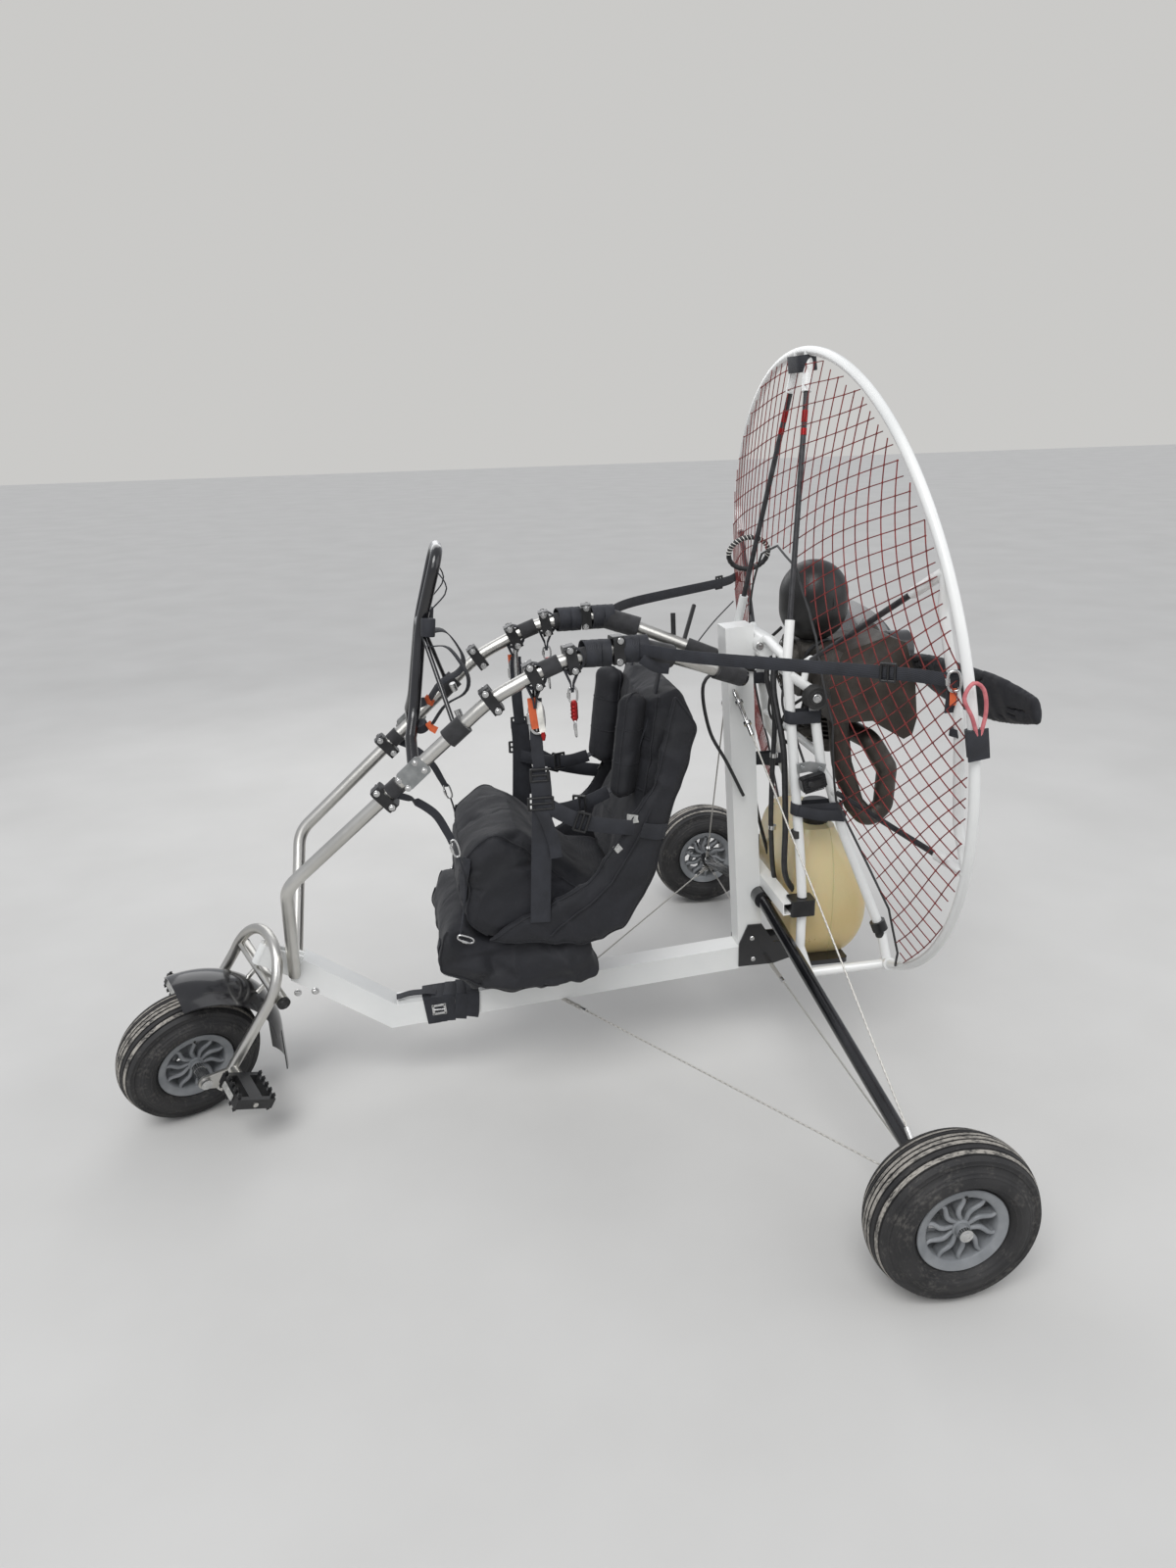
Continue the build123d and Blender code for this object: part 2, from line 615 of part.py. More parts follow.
# Spars from the motor frame to the hoop, each held in a sleeve at its ends
FRAME_TOP_UP = PROP_UP + 20
SPARS = []
for side in (1, -1):
    middle = 0 if side == 1 else 180
    SPARS += [
        # foot, head, lengths of the sleeves at the foot and at the head
        (at(104, side * 188, FRAME_TOP_UP + 16), cage_at(CAGE_R, 90 - side * 2.5), 84, 85),
        (at(60, side * 190, FRAME_TOP_UP + 6), cage_at(CAGE_R - 10, middle + side * 27), 20, 100),
        (at(-12, side * 190, PROP_UP - 270), cage_at(CAGE_R, middle - side * 20.5), 22, 90),
    ]

with BuildPart() as cage_hoop:
    start_angle = -90 + CAGE_OPEN
    hoop_start = cage_at(CAGE_R, start_angle)
    along_hoop = cage_at(CAGE_R, start_angle + 90) - CAGE_MIDDLE
    with BuildSketch(Plane(origin=hoop_start, z_dir=along_hoop)):
        Circle(CAGE_TUBE_D / 2)
    revolve(axis=Axis(CAGE_MIDDLE, CAGE_NORMAL), revolution_arc=360 - 2 * CAGE_OPEN)
    for side in (1, -1):
        angles = [-20, -14, 4, 22, 28]
        radii = [CAGE_R, SIDE_BAR_R, SIDE_BAR_R, SIDE_BAR_R, CAGE_R]
        middle = 0 if side == 1 else 180
        rod([cage_at(r, middle + side * a) for r, a in zip(radii, angles)], SIDE_BAR_D, 60)
    for foot, head, foot_sleeve, head_sleeve in SPARS:
        bar_between(head, head + (foot - head).normalized() * head_sleeve, SPAR_SLEEVE_D)
save(cage_hoop, "cage_hoop")

# Motor frame: two side frames, each of a front and a rear tube on a base tube, and an arch
KNUCKLE = cage_at(CAGE_R, -90 + CAGE_OPEN)
KNUCKLE_D = 30
knuckle = (KNUCKLE.X + MIDDLE, KNUCKLE.Y, KNUCKLE.Z)
FRAME_BAR_AHEAD = 46
FRAME_BAR_UP = PROP_UP - 35
LOW_BAR_AHEAD = 22
LOW_BAR_UP = PROP_UP - 182
LUG_D = 24
FRAME_FOOT = (30, 204, 300)
FRAME_TOP = (104, FRAME_HALF_W, FRAME_TOP_UP)
FRAME_FRONT = [
    # ahead, port, up
    FRAME_TOP,
    (58, FRAME_HALF_W, 600),
    (48, FRAME_HALF_W, 476),
    (50, FRAME_HALF_W + 2, 365),
    FRAME_FOOT,
]
FRAME_REAR = [
    # ahead, port, up
    knuckle,
    (knuckle[0] + 8, knuckle[1] - 24, knuckle[2] + 68),
    (-44, FRAME_HALF_W + 2, 640),
    (-2, FRAME_HALF_W, PROP_UP - 248),
    (16, FRAME_HALF_W, PROP_UP - 220),
    (FRAME_BAR_AHEAD, FRAME_HALF_W, FRAME_BAR_UP),
    (98, FRAME_HALF_W, FRAME_TOP_UP - 18),
]
ARCH_PORT = [
    # ahead, port, up
    FRAME_TOP,
    (108, FRAME_HALF_W - 14, FRAME_TOP_UP + 22),
    (110, 84, FRAME_TOP_UP + 36),
]
FRAME_CLAMP_D = 36
with BuildPart() as motor_frame:
    for side in (-1, 1):
        rod([at(a, side * y, u) for a, y, u in FRAME_FRONT], FRAME_TUBE_D, 20)
        rod([at(a, side * y, u) for a, y, u in FRAME_REAR], FRAME_TUBE_D, 10)
        rod([at(a, side * y, u) for a, y, u in (FRAME_FOOT, knuckle)], FRAME_TUBE_D)
        way = (cage_at(CAGE_R, -90 + CAGE_OPEN + 90) - CAGE_MIDDLE).normalized()
        end = cage_at(CAGE_R, -90 + CAGE_OPEN)
        a = end - way * 16
        b = end + way * 16
        bar_between(Vector(a.X, side * a.Y, a.Z), Vector(b.X, side * b.Y, b.Z), KNUCKLE_D)
        bar_between(at(66, side * FRAME_HALF_W, FRAME_BAR_UP + 14), at(60, side * FRAME_HALF_W, FRAME_TOP_UP + 6), 15)
    arch = [at(*p) for p in ARCH_PORT]
    rod(arch + mirrored(arch[::-1]), FRAME_TUBE_D, 12)
    for foot, head, foot_sleeve, head_sleeve in SPARS:
        bar_between(foot, foot + (head - foot).normalized() * foot_sleeve, SPAR_SLEEVE_D)
    for ahead, up in ((FRAME_BAR_AHEAD, FRAME_BAR_UP), (LOW_BAR_AHEAD, LOW_BAR_UP)):
        bar_between(at(ahead, -FRAME_HALF_W, up), at(ahead, FRAME_HALF_W, up), FRAME_CROSS_D)
    add(cage_hoop.part, mode=Mode.SUBTRACT)
    add(mast.part, mode=Mode.SUBTRACT)
save(motor_frame, "motor_frame")

# Clamp blocks that hold the motor frame to the cross tube
with BuildPart() as clamp_blocks:
    for side in (-1, 1):
        with BuildSketch(Plane(origin=at(52, side * FRAME_HALF_W, CROSS_UP - 20))) as block:
            RectangleRounded(58, 44, 6)
        extrude(block.sketch, amount=40)
        low = at(knuckle[0] + 8, side * (knuckle[1] - 24), knuckle[2] + 68)
        next_up = at(-44, side * (FRAME_HALF_W + 2), 640)
        way = (next_up - low).normalized()
        bar_between(low + way * 8, low + way * 32, FRAME_CLAMP_D)
    add(motor_frame.part, mode=Mode.SUBTRACT)
    add(cross_tube.part, mode=Mode.SUBTRACT)
save(clamp_blocks, "clamp_blocks")

# Foot plates that clamp the keel and the column, with the tank's tray behind them
TANK_BOTTOM = 305
TRAY_T = 12
FOOT_PLATE_T = 5
FOOT_PLATE = [(150, 240), (150, 300), (128, 352), (92, 352), (60, 300), (-20, 300), (-20, 262), (60, 240)]
with BuildPart() as foot_plates:
    for side in (-1, 1):
        low, high = sorted((side * BOX / 2, side * (BOX / 2 + FOOT_PLATE_T)))
        slab(FOOT_PLATE, low, high)
    with BuildSketch(Plane(origin=at(-30, 0, TANK_BOTTOM - TRAY_T))) as tray:
        RectangleRounded(110, 2 * FRAME_HALF_W - 60, 10)
    extrude(tray.sketch, amount=TRAY_T)
save(foot_plates, "foot_plates")

# Fuel tank between the side frames, and its cap
TANK_TOP = 628
TANK_SECTIONS = [
    # up, rear end, front end, half width
    (TANK_BOTTOM, -105, 28, 118),
    (350, -126, 46, 140),
    (430, -136, 52, 152),
    (560, -92, 50, 148),
    (TANK_TOP, -60, 30, 120),
]
with BuildPart() as fuel_tank:
    for up, back, front, half in TANK_SECTIONS:
        with BuildSketch(Plane(origin=at((front + back) / 2, 0, up))):
            RectangleRounded(front - back, 2 * half, 34)
    loft()
    add(motor_frame.part, mode=Mode.SUBTRACT)
save(fuel_tank, "fuel_tank")

CAP_D = 62
CAP_H = 52
with BuildPart() as tank_cap:
    bar_between(at(-24, 60, TANK_TOP), at(-24, 60, TANK_TOP + CAP_H), CAP_D)
save(tank_cap, "tank_cap")

with BuildPart() as cage_spars:
    for foot, head, foot_sleeve, head_sleeve in SPARS:
        bar_between(foot, head, SPAR_D)
    add(cage_hoop.part, mode=Mode.SUBTRACT)
    add(motor_frame.part, mode=Mode.SUBTRACT)
save(cage_spars, "cage_spars")

# Netting: laced ahead of the hoop and stretched forward over the spars, with a keyhole opening.
# Its cords run in rings and rays, and a wider band edges the keyhole.
NET_RINGS = 5
NET_RAYS = 24
NET_CORD_W = 9
NET_EDGE_W = 14
NET_DEPTH = 150
NET_IN_R = 150
net_out = CAGE_R
net_in_ahead = NET_DEPTH * (1 - NET_IN_R / net_out)
net_seat = CAGE_TUBE_D / 2
KEYHOLE = [
    # port, and above the hoop's middle in its plane
    (CAGE_R * 0.373, -CAGE_R - 17),
    (358, -570),
    (370, -450),
    (318, -358),
    (240, -230),
    (283, -39),
    (230, 139),
    (197, 189),
    (118, 273),
    (0, 305),
]


def ring_place(radius, angle):
    """A place in the cage's plane, by radius and angle from port, as port and up."""
    return radius * cos(radians(angle)), radius * sin(radians(angle))


with BuildPart() as cage_net:
    with BuildSketch(Plane(origin=CAGE_MIDDLE, x_dir=CAGE_UPWARD, z_dir=(0, 1, 0))):
        with BuildLine():
            Polyline((net_out, net_seat), (NET_IN_R, net_seat + net_in_ahead),
                     (NET_IN_R, net_seat + net_in_ahead + CAGE_NET_T), (net_out, net_seat + CAGE_NET_T), close=True)
        make_face()
    revolve(axis=Axis(CAGE_MIDDLE, CAGE_NORMAL))
    with BuildSketch(Plane(origin=CAGE_MIDDLE, x_dir=(0, 1, 0), z_dir=CAGE_NORMAL)):
        with BuildLine():
            Polyline(*KEYHOLE, *[(-y, z) for y, z in reversed(KEYHOLE[:-1])], close=True)
        make_face()
    extrude(amount=NET_DEPTH + 60, mode=Mode.SUBTRACT)
    with BuildSketch(Plane(origin=CAGE_MIDDLE, x_dir=(0, 1, 0), z_dir=CAGE_NORMAL)) as cells:
        ring_step = (net_out - NET_IN_R) / NET_RINGS
        ray_step = 360 / NET_RAYS
        for ring in range(NET_RINGS):
            inner = NET_IN_R + ring * ring_step + NET_CORD_W / 2
            outer = inner + ring_step - NET_CORD_W
            half = ray_step / 2
            for ray in range(NET_RAYS):
                middle = (ray + 0.5) * ray_step
                spread_in = half - NET_CORD_W / 2 / radians(inner)
                spread_out = half - NET_CORD_W / 2 / radians(outer)
                with BuildLine():
                    Polyline(ring_place(inner, middle - spread_in), ring_place(outer, middle - spread_out),
                             ring_place(outer, middle + spread_out), ring_place(inner, middle + spread_in),
                             close=True)
                make_face()
        with BuildLine():
            Polyline(*KEYHOLE, *[(-y, z) for y, z in reversed(KEYHOLE[:-1])], close=True)
            offset(amount=NET_EDGE_W, kind=Kind.INTERSECTION, mode=Mode.REPLACE)
        make_face(mode=Mode.SUBTRACT)
    extrude(cells.sketch, amount=NET_DEPTH + 60, mode=Mode.SUBTRACT)
    add(cage_spars.part, mode=Mode.SUBTRACT)
    add(cage_hoop.part, mode=Mode.SUBTRACT)
    add(motor_frame.part, mode=Mode.SUBTRACT)
save(cage_net, "cage_net")

# Engine: crankcase, finned cylinder below it, shaft for the propeller
PROP_MIDDLE = at(PROP_AHEAD, 0, PROP_UP)
SHAFT_R = 12
CASE_FRONT = 28
CASE_REAR = -150
CASE_HALF = 72
CASE_LOW = PROP_UP - 84
CASE_TOP = PROP_UP + 42
CYLINDER_AHEAD = -72
FIN_D = 132
FIN_T = 3
FIN_GAP = 8
FINS = 10
HEAD_D = 104
HEAD_H = 14
PLUG_D = 20
PLUG_H = 30
STARTER_D = 112
STARTER_T = 15
BELT_CASE_D = 132
BELT_CASE_T = 20
with BuildPart() as engine:
    with BuildSketch(Plane(origin=at(CASE_REAR, 0, (CASE_LOW + CASE_TOP) / 2), x_dir=(0, 1, 0), z_dir=(1, 0, 0))):
        RectangleRounded(2 * CASE_HALF, CASE_TOP - CASE_LOW, 22)
    extrude(amount=CASE_FRONT - CASE_REAR)
    bar_between(at(CASE_REAR - 40, 0, PROP_UP), at(CASE_REAR, 0, PROP_UP), 84)
    for side in (-1, 1):
        bar_between(at(CASE_FRONT - 8, side * 45, FRAME_BAR_UP), at(FRAME_BAR_AHEAD, side * 45, FRAME_BAR_UP), LUG_D)
        bar_between(at(CYLINDER_AHEAD, side * 22, LOW_BAR_UP), at(LOW_BAR_AHEAD, side * 22, LOW_BAR_UP), LUG_D)
    bar_between(at(PROP_AHEAD - PROP_HUB_L / 2, 0, PROP_UP), at(CASE_REAR, 0, PROP_UP), 2 * SHAFT_R)
    cylinder_low = CASE_LOW - FINS * (FIN_T + FIN_GAP)
    bar_between(at(CYLINDER_AHEAD, 0, cylinder_low), at(CYLINDER_AHEAD, 0, CASE_LOW), 84)
    for i in range(FINS):
        up = cylinder_low + i * (FIN_T + FIN_GAP)
        bar_between(at(CYLINDER_AHEAD, 0, up), at(CYLINDER_AHEAD, 0, up + FIN_T), FIN_D)
    head_low = cylinder_low - HEAD_H
    bar_between(at(CYLINDER_AHEAD, 0, head_low), at(CYLINDER_AHEAD, 0, cylinder_low), HEAD_D)
    bar_between(at(CYLINDER_AHEAD, 0, head_low - PLUG_H), at(CYLINDER_AHEAD, 0, head_low), PLUG_D)
    bar_between(at(CASE_FRONT, 0, PROP_UP - 12), at(CASE_FRONT + STARTER_T, 0, PROP_UP - 12), STARTER_D)
    bar_between(at(CASE_REAR - BELT_CASE_T, 0, PROP_UP), at(CASE_REAR, 0, PROP_UP), BELT_CASE_D)
    add(motor_frame.part, mode=Mode.SUBTRACT)
save(engine, "engine")

# Rubber mounts outside the side frames
MOUNT_D = 52
MOUNT_T = 26
with BuildPart() as engine_mounts:
    for side in (-1, 1):
        inner = FRAME_HALF_W + FRAME_TUBE_D / 2 - 2
        mount_up = FRAME_BAR_UP - 10
        bar_between(at(FRAME_BAR_AHEAD, side * inner, mount_up), at(FRAME_BAR_AHEAD, side * (inner + MOUNT_T), mount_up),
                    MOUNT_D)
    add(motor_frame.part, mode=Mode.SUBTRACT)
save(engine_mounts, "engine_mounts")

# Airbox: an egg-shaped intake silencer on a neck
AIRBOX_AHEAD = -10
AIRBOX_PORT = 28
AIRBOX_UP = CASE_TOP + 90
AIRBOX_R = 77
AIRBOX_HALF_H = 92
AIRBOX_NECK_R = 28
with BuildPart() as airbox:
    centre = at(AIRBOX_AHEAD, AIRBOX_PORT, AIRBOX_UP)
    neck_end = AIRBOX_UP - CASE_TOP
    with BuildSketch(Plane(origin=centre, x_dir=(1, 0, 0), z_dir=(0, -1, 0))):
        with BuildLine():
            barrel = AIRBOX_HALF_H - AIRBOX_R
            shoulder = AIRBOX_R / sqrt(2)
            neck_top = barrel + sqrt(AIRBOX_R ** 2 - AIRBOX_NECK_R ** 2)
            Polyline((0, AIRBOX_HALF_H), (0, -neck_end), (AIRBOX_NECK_R, -neck_end), (AIRBOX_NECK_R, -neck_top))
            ThreePointArc((AIRBOX_NECK_R, -neck_top), (shoulder, -barrel - shoulder), (AIRBOX_R, -barrel))
            Line((AIRBOX_R, -barrel), (AIRBOX_R, barrel))
            ThreePointArc((AIRBOX_R, barrel), (shoulder, barrel + shoulder), (0, AIRBOX_HALF_H))
        make_face()
    revolve(axis=Axis(centre, (0, 0, 1)))
save(airbox, "airbox")

# Exhaust: a tuned pipe looped below the engine, into a faceted silencer beside it
SILENCER = [(-10, 1069), (-112, 1100), (-152, 1084), (-178, 1013), (-190, 912), (-182, 876), (-162, 866), (-106, 900),
            (-92, 913), (2, 913), (17, 1006)]
SILENCER_IN = 104
SILENCER_OUT = 215
PIPE = [(-100, 62, 850), (-112, 150, 850), (-156, 152, 780), (-152, 152, 690), (-118, 152, 655), (-80, 152, 700),
        (-46, 152, 800), (-30, 152, 915)]
PIPE_D = 46
with BuildPart() as exhaust:
    slab(SILENCER, SILENCER_IN, SILENCER_OUT)
    rod([at(*p) for p in PIPE], PIPE_D, 24)
    add(engine.part, mode=Mode.SUBTRACT)
    add(motor_frame.part, mode=Mode.SUBTRACT)
    add(cage_spars.part, mode=Mode.SUBTRACT)
save(exhaust, "exhaust")

# Propeller: two blades on a hub, one under a fabric cover
prop_tilt = radians(PROP_TILT)
PROP_SECTIONS = [
    # share of radius, chord, thickness, pitch, set back behind the hub's middle
    (0.05, 42, 30, 60, 0),
    (0.20, 70, 16, 38, 20),
    (0.45, 104, 12, 22, 24),
    (0.75, 92, 9, 14, 18),
    (0.98, 40, 5, 10, 12),
]


def blade(side, grow, first):
    """Adds one blade, from its first section out, grown all round."""
    span = Vector(0, side * cos(prop_tilt), side * sin(prop_tilt))
    sections = []
    for share, chord, thick, pitch, back in PROP_SECTIONS[first:]:
        origin = PROP_MIDDLE + span * (share * PROP_D / 2) - Vector(1, 0, 0).cross(span) * back
        across = Vector(1, 0, 0).cross(span) * cos(radians(pitch)) + Vector(1, 0, 0) * sin(radians(pitch))
        with BuildSketch(Plane(origin=origin, x_dir=across, z_dir=span)) as section:
            Ellipse(chord / 2 + grow, thick / 2 + grow)
        sections.append(section.sketch.face())
    loft(sections)


with BuildPart() as propeller:
    hub_back = PROP_MIDDLE - Vector(PROP_HUB_L / 2, 0, 0)
    bar_between(hub_back, hub_back + Vector(PROP_HUB_L, 0, 0), PROP_HUB_D)
    for side in (-1, 1):
        blade(side, 0, 0)
    with BuildSketch(Plane(origin=hub_back, z_dir=(1, 0, 0))) as bore:
        Circle(SHAFT_R + FIT)
    extrude(bore.sketch, amount=PROP_HUB_L, mode=Mode.SUBTRACT)
save(propeller, "propeller")

COVER_T = 4
with BuildPart() as blade_cover:
    blade(1, COVER_T, 1)
    add(propeller.part, mode=Mode.SUBTRACT)
save(blade_cover, "blade_cover")

# Seat: a hung fabric harness
SEAT_HALF = 200
SIDE_T = 14
SEAT_PAN = [(823, 662), (751, 715), (686, 674), (560, 560), (440, 535), (470, 470), (560, 445), (783, 456), (830, 500)]
SEAT_BACK = [(440, 536), (505, 560), (430, 730), (395, 1000), (336, 1025), (300, 925), (355, 730), (400, 560)]
SEAT_BAG = [(904, 385), (880, 499), (831, 499), (784, 455), (560, 444), (535, 410), (526, 340), (620, 310), (740, 312)]
SEAT_SIDE = [
    # ahead, up
    (783, 456),
    (675, 520),
    (556, 580),
    (489, 672),
    (400, 804),
    (350, 1000),
    (301, 925),
    (360, 725),
    (419, 535),
    (462, 468),
    (554, 425),
]
SEAT_ROUND = 14
inside = SEAT_HALF - SIDE_T - GAP
for name, outline in (("seat_pan", SEAT_PAN), ("seat_back", SEAT_BACK), ("seat_bag", SEAT_BAG)):
    with BuildPart() as seat_piece:
        slab(outline, -inside, inside)
        fillet(seat_piece.edges().filter_by(Axis.Y), SEAT_ROUND)
    save(seat_piece, name)
with BuildPart() as seat_sides:
    for side in (1, -1):
        low, high = sorted((side * (SEAT_HALF - SIDE_T), side * SEAT_HALF))
        slab(SEAT_SIDE, low, high)
save(seat_sides, "seat_sides")

PAD_D = 62
PAD_PORT = 130
PAD_TOP = (428.6, 989)
PAD_LOW = (458.4, 759)
with BuildPart() as shoulder_pads:
    for side in (-1, 1):
        ends = [at(ahead, side * PAD_PORT, up) for ahead, up in (PAD_TOP, PAD_LOW)]
        bar_between(*ends, PAD_D)
save(shoulder_pads, "shoulder_pads")

# Risers: webbing from the hang links down to the seat, and steel links on the bars' clamps
RISER_AHEAD = 652
RISER_W = 44
RISER_T = 5
RISER_LOW = 500
RISER_TOP = 940
LINK_D = 12
with BuildPart() as risers:
    for side in (-1, 1):
        with BuildSketch(Plane(origin=at(RISER_AHEAD, side * (SEAT_HALF + GAP + RISER_T / 2), RISER_LOW))) as strap:
            Rectangle(RISER_W, RISER_T)
        extrude(strap.sketch, amount=RISER_TOP - RISER_LOW)
save(risers, "risers")
with BuildPart() as hang_links:
    for side in (-1, 1):
        y = side * (SEAT_HALF + GAP + RISER_T / 2)
        bar_between(at(RISER_AHEAD, y, RISER_TOP), at(RISER_AHEAD, y, 1060), LINK_D)
    add(overhead_bars.part, mode=Mode.SUBTRACT)
    add(bar_clamps.part, mode=Mode.SUBTRACT)
save(hang_links, "hang_links")

# Main wire stays, with a terminal at each end: column's head, keel and column's foot to the struts' ends
STAY_D = 4
STAY_END_D = 10
STAY_END_L = 62
STAYS = [
    # from and to, each as ahead, port, up
    ((172, BOX / 2 + 2, 952), (8, 791, TYRE_R + 17)),
    ((596, BOX / 2 - 6, 196), (8, 791, TYRE_R - 15)),
    ((64, BOX / 2 + 4, 236), (0, 788, TYRE_R - 8)),
]
with BuildPart() as wire_stays:
    for side in (1, -1):
        for start, stop in STAYS:
            a = at(start[0], side * start[1], start[2])
            b = at(stop[0], side * stop[1], stop[2])
            way = (b - a).normalized()
            bar_between(a, b, STAY_D)
            bar_between(a, a + way * STAY_END_L, STAY_END_D)
            bar_between(b - way * STAY_END_L, b, STAY_END_D)
    for carrier in (mast, keel, foot_plates, axle_struts):
        add(carrier.part, mode=Mode.SUBTRACT)
save(wire_stays, "wire_stays")
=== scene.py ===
import json
from math import copysign, cos, exp, hypot, pi, radians, sin, sqrt

import bmesh
import bpy
import numpy as np
from mathutils import Matrix, Vector, noise
from mathutils.bvhtree import BVHTree


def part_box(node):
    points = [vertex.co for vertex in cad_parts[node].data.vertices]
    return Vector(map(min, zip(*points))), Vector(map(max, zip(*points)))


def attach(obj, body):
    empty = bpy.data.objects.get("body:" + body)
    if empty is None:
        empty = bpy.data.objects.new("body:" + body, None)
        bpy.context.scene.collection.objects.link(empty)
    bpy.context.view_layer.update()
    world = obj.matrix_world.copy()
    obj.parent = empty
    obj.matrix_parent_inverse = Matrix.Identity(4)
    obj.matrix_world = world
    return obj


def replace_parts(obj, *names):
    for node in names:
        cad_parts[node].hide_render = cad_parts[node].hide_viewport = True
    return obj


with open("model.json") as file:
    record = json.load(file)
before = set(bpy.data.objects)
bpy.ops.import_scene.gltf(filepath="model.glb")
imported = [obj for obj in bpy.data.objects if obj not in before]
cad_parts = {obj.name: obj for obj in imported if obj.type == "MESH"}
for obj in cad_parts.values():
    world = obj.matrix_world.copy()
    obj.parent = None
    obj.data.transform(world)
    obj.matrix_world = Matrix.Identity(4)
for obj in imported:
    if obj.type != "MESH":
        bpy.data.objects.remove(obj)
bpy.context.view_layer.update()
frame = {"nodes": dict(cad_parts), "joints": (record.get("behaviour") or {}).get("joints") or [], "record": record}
nodes = frame["nodes"]
joints = {joint["name"]: joint for joint in frame["joints"]}

MM = 0.001
AXLE_X = joints["left_wheel_spin"]["pos_m"][0]
SIDES = (1, -1)
FORWARD = Vector((1, 0, 0))
PORT = Vector((0, 1, 0))
UP = Vector((0, 0, 1))


def at(ahead, port, up):
    """A place in millimetres ahead and to port of the rear axle's middle, and above the floor."""
    return Vector((AXLE_X + ahead * MM, port * MM, up * MM))


def path(side, *points):
    """Places given as ahead, port and up, mirrored where side is -1."""
    return [at(ahead, side * port, up) for ahead, port, up in points]


def facing(side, x, y, z):
    """A direction, mirrored where side is -1."""
    return Vector((x, side * y, z))


def angles(count, back=False):
    """Even steps round a circle, and back to its start if asked."""
    return [2 * pi * k / count for k in range(count + back)]


# Camera, at the photograph's viewing angle
CAMERA_AT = (0.1910, 2.4033, 1.5801)
CAMERA_RIGHT = (-0.98653, 0.16142, -0.02581)
CAMERA_UP = (-0.07663, -0.31719, 0.94523)
CAMERA_FORWARD = (-0.1444, -0.9345, -0.3253)
FOCAL_PIXELS = 1118.2
IMAGE_HEIGHT = 1600
camera_data = bpy.data.cameras.new("camera")
camera_data.sensor_width = 36
camera_data.lens = FOCAL_PIXELS / IMAGE_HEIGHT * camera_data.sensor_width
camera = bpy.data.objects.new("camera", camera_data)
bpy.context.scene.collection.objects.link(camera)
columns = [Vector(CAMERA_RIGHT), Vector(CAMERA_UP), -Vector(CAMERA_FORWARD)]
camera.matrix_world = Matrix.Translation(CAMERA_AT) @ Matrix(columns).transposed().to_4x4()
bpy.context.scene.camera = camera
bpy.context.scene.view_settings.view_transform = "Standard"


# Materials
class Nodes:
    """Short calls that add and link the nodes of one material."""

    def __init__(self, name):
        self.material = bpy.data.materials.new(name)
        self.material.use_nodes = True
        self.tree = self.material.node_tree
        self.shader = self.tree.nodes["Principled BSDF"]
        self.coords = self.tree.nodes.new("ShaderNodeTexCoord").outputs["Object"]
        self.normal = None

    def feed(self, node, sockets):
        """Links or sets a node's inputs, given by number, or by name with _ for a space."""
        for key, value in sockets.items():
            socket = node.inputs[key.replace("_", " ") if isinstance(key, str) else key]
            if isinstance(value, bpy.types.NodeSocket):
                self.tree.links.new(value, socket)
            else:
                socket.default_value = value

    def add(self, kind, **sockets):
        node = self.tree.nodes.new(kind)
        self.feed(node, sockets)
        return node

    def set(self, **sockets):
        self.feed(self.shader, sockets)

    def stretched(self, scale):
        """Object coordinates stretched by three factors."""
        return self.add("ShaderNodeMapping", Vector=self.coords, Scale=scale).outputs["Vector"]

    def noise(self, scale, detail=4.0, vector=None):
        node = self.add("ShaderNodeTexNoise", Vector=vector or self.coords, Scale=scale, Detail=detail)
        return node.outputs["Fac"]

    def wave(self, scale, axis, distortion=0.0):
        node = self.add("ShaderNodeTexWave", Vector=self.coords, Scale=scale, Distortion=distortion)
        node.bands_direction = axis
        return node.outputs["Fac"]

    def ramp(self, fac, *stops):
        """Colours between stops, each a place and a colour."""
        node = self.add("ShaderNodeValToRGB", Fac=fac)
        elements = node.color_ramp.elements
        while len(elements) < len(stops):
            elements.new(0.5)
        for element, (place, colour) in zip(elements, stops):
            element.position = place
            element.color = (*colour, 1)
        return node.outputs["Color"]

    def spread(self, fac, low=0.0, high=1.0, start=0.0, stop=1.0):
        """Values from start to stop brought to low to high."""
        ends = {"From_Min": start, "From_Max": stop, "To_Min": low, "To_Max": high}
        return self.add("ShaderNodeMapRange", Value=fac, **ends).outputs["Result"]

    def product(self, a, b):
        node = self.add("ShaderNodeMath")
        node.operation = "MULTIPLY"
        self.feed(node, {0: a, 1: b})
        return node.outputs[0]

    def mix(self, fac, a, b):
        node = self.add("ShaderNodeMix")
        node.data_type = "RGBA"
        a, b = (value if isinstance(value, bpy.types.NodeSocket) else (*value, 1) for value in (a, b))
        self.feed(node, {0: fac, 6: a, 7: b})
        return node.outputs[2]

    def bump(self, height, distance, strength=1.0):
        """Adds relief, in metres, over what relief there is."""
        node = self.add("ShaderNodeBump", Height=height, Distance=distance, Strength=strength)
        if self.normal:
            self.feed(node, {"Normal": self.normal})
        self.normal = node.outputs["Normal"]
        self.set(Normal=self.normal)


def finish_of(name, dark, light, grain, rough, relief=(), **constants):
    """A finish whose colour and roughness wander between two values, with layers of fine relief."""
    n = Nodes(name)
    drift = n.noise(grain, 6)
    n.set(Base_Color=n.ramp(drift, (0.3, dark), (0.7, light)), Roughness=n.spread(drift, *rough), **constants)
    for scale, distance in relief:
        n.bump(n.noise(scale, 3), distance)
    return n.material


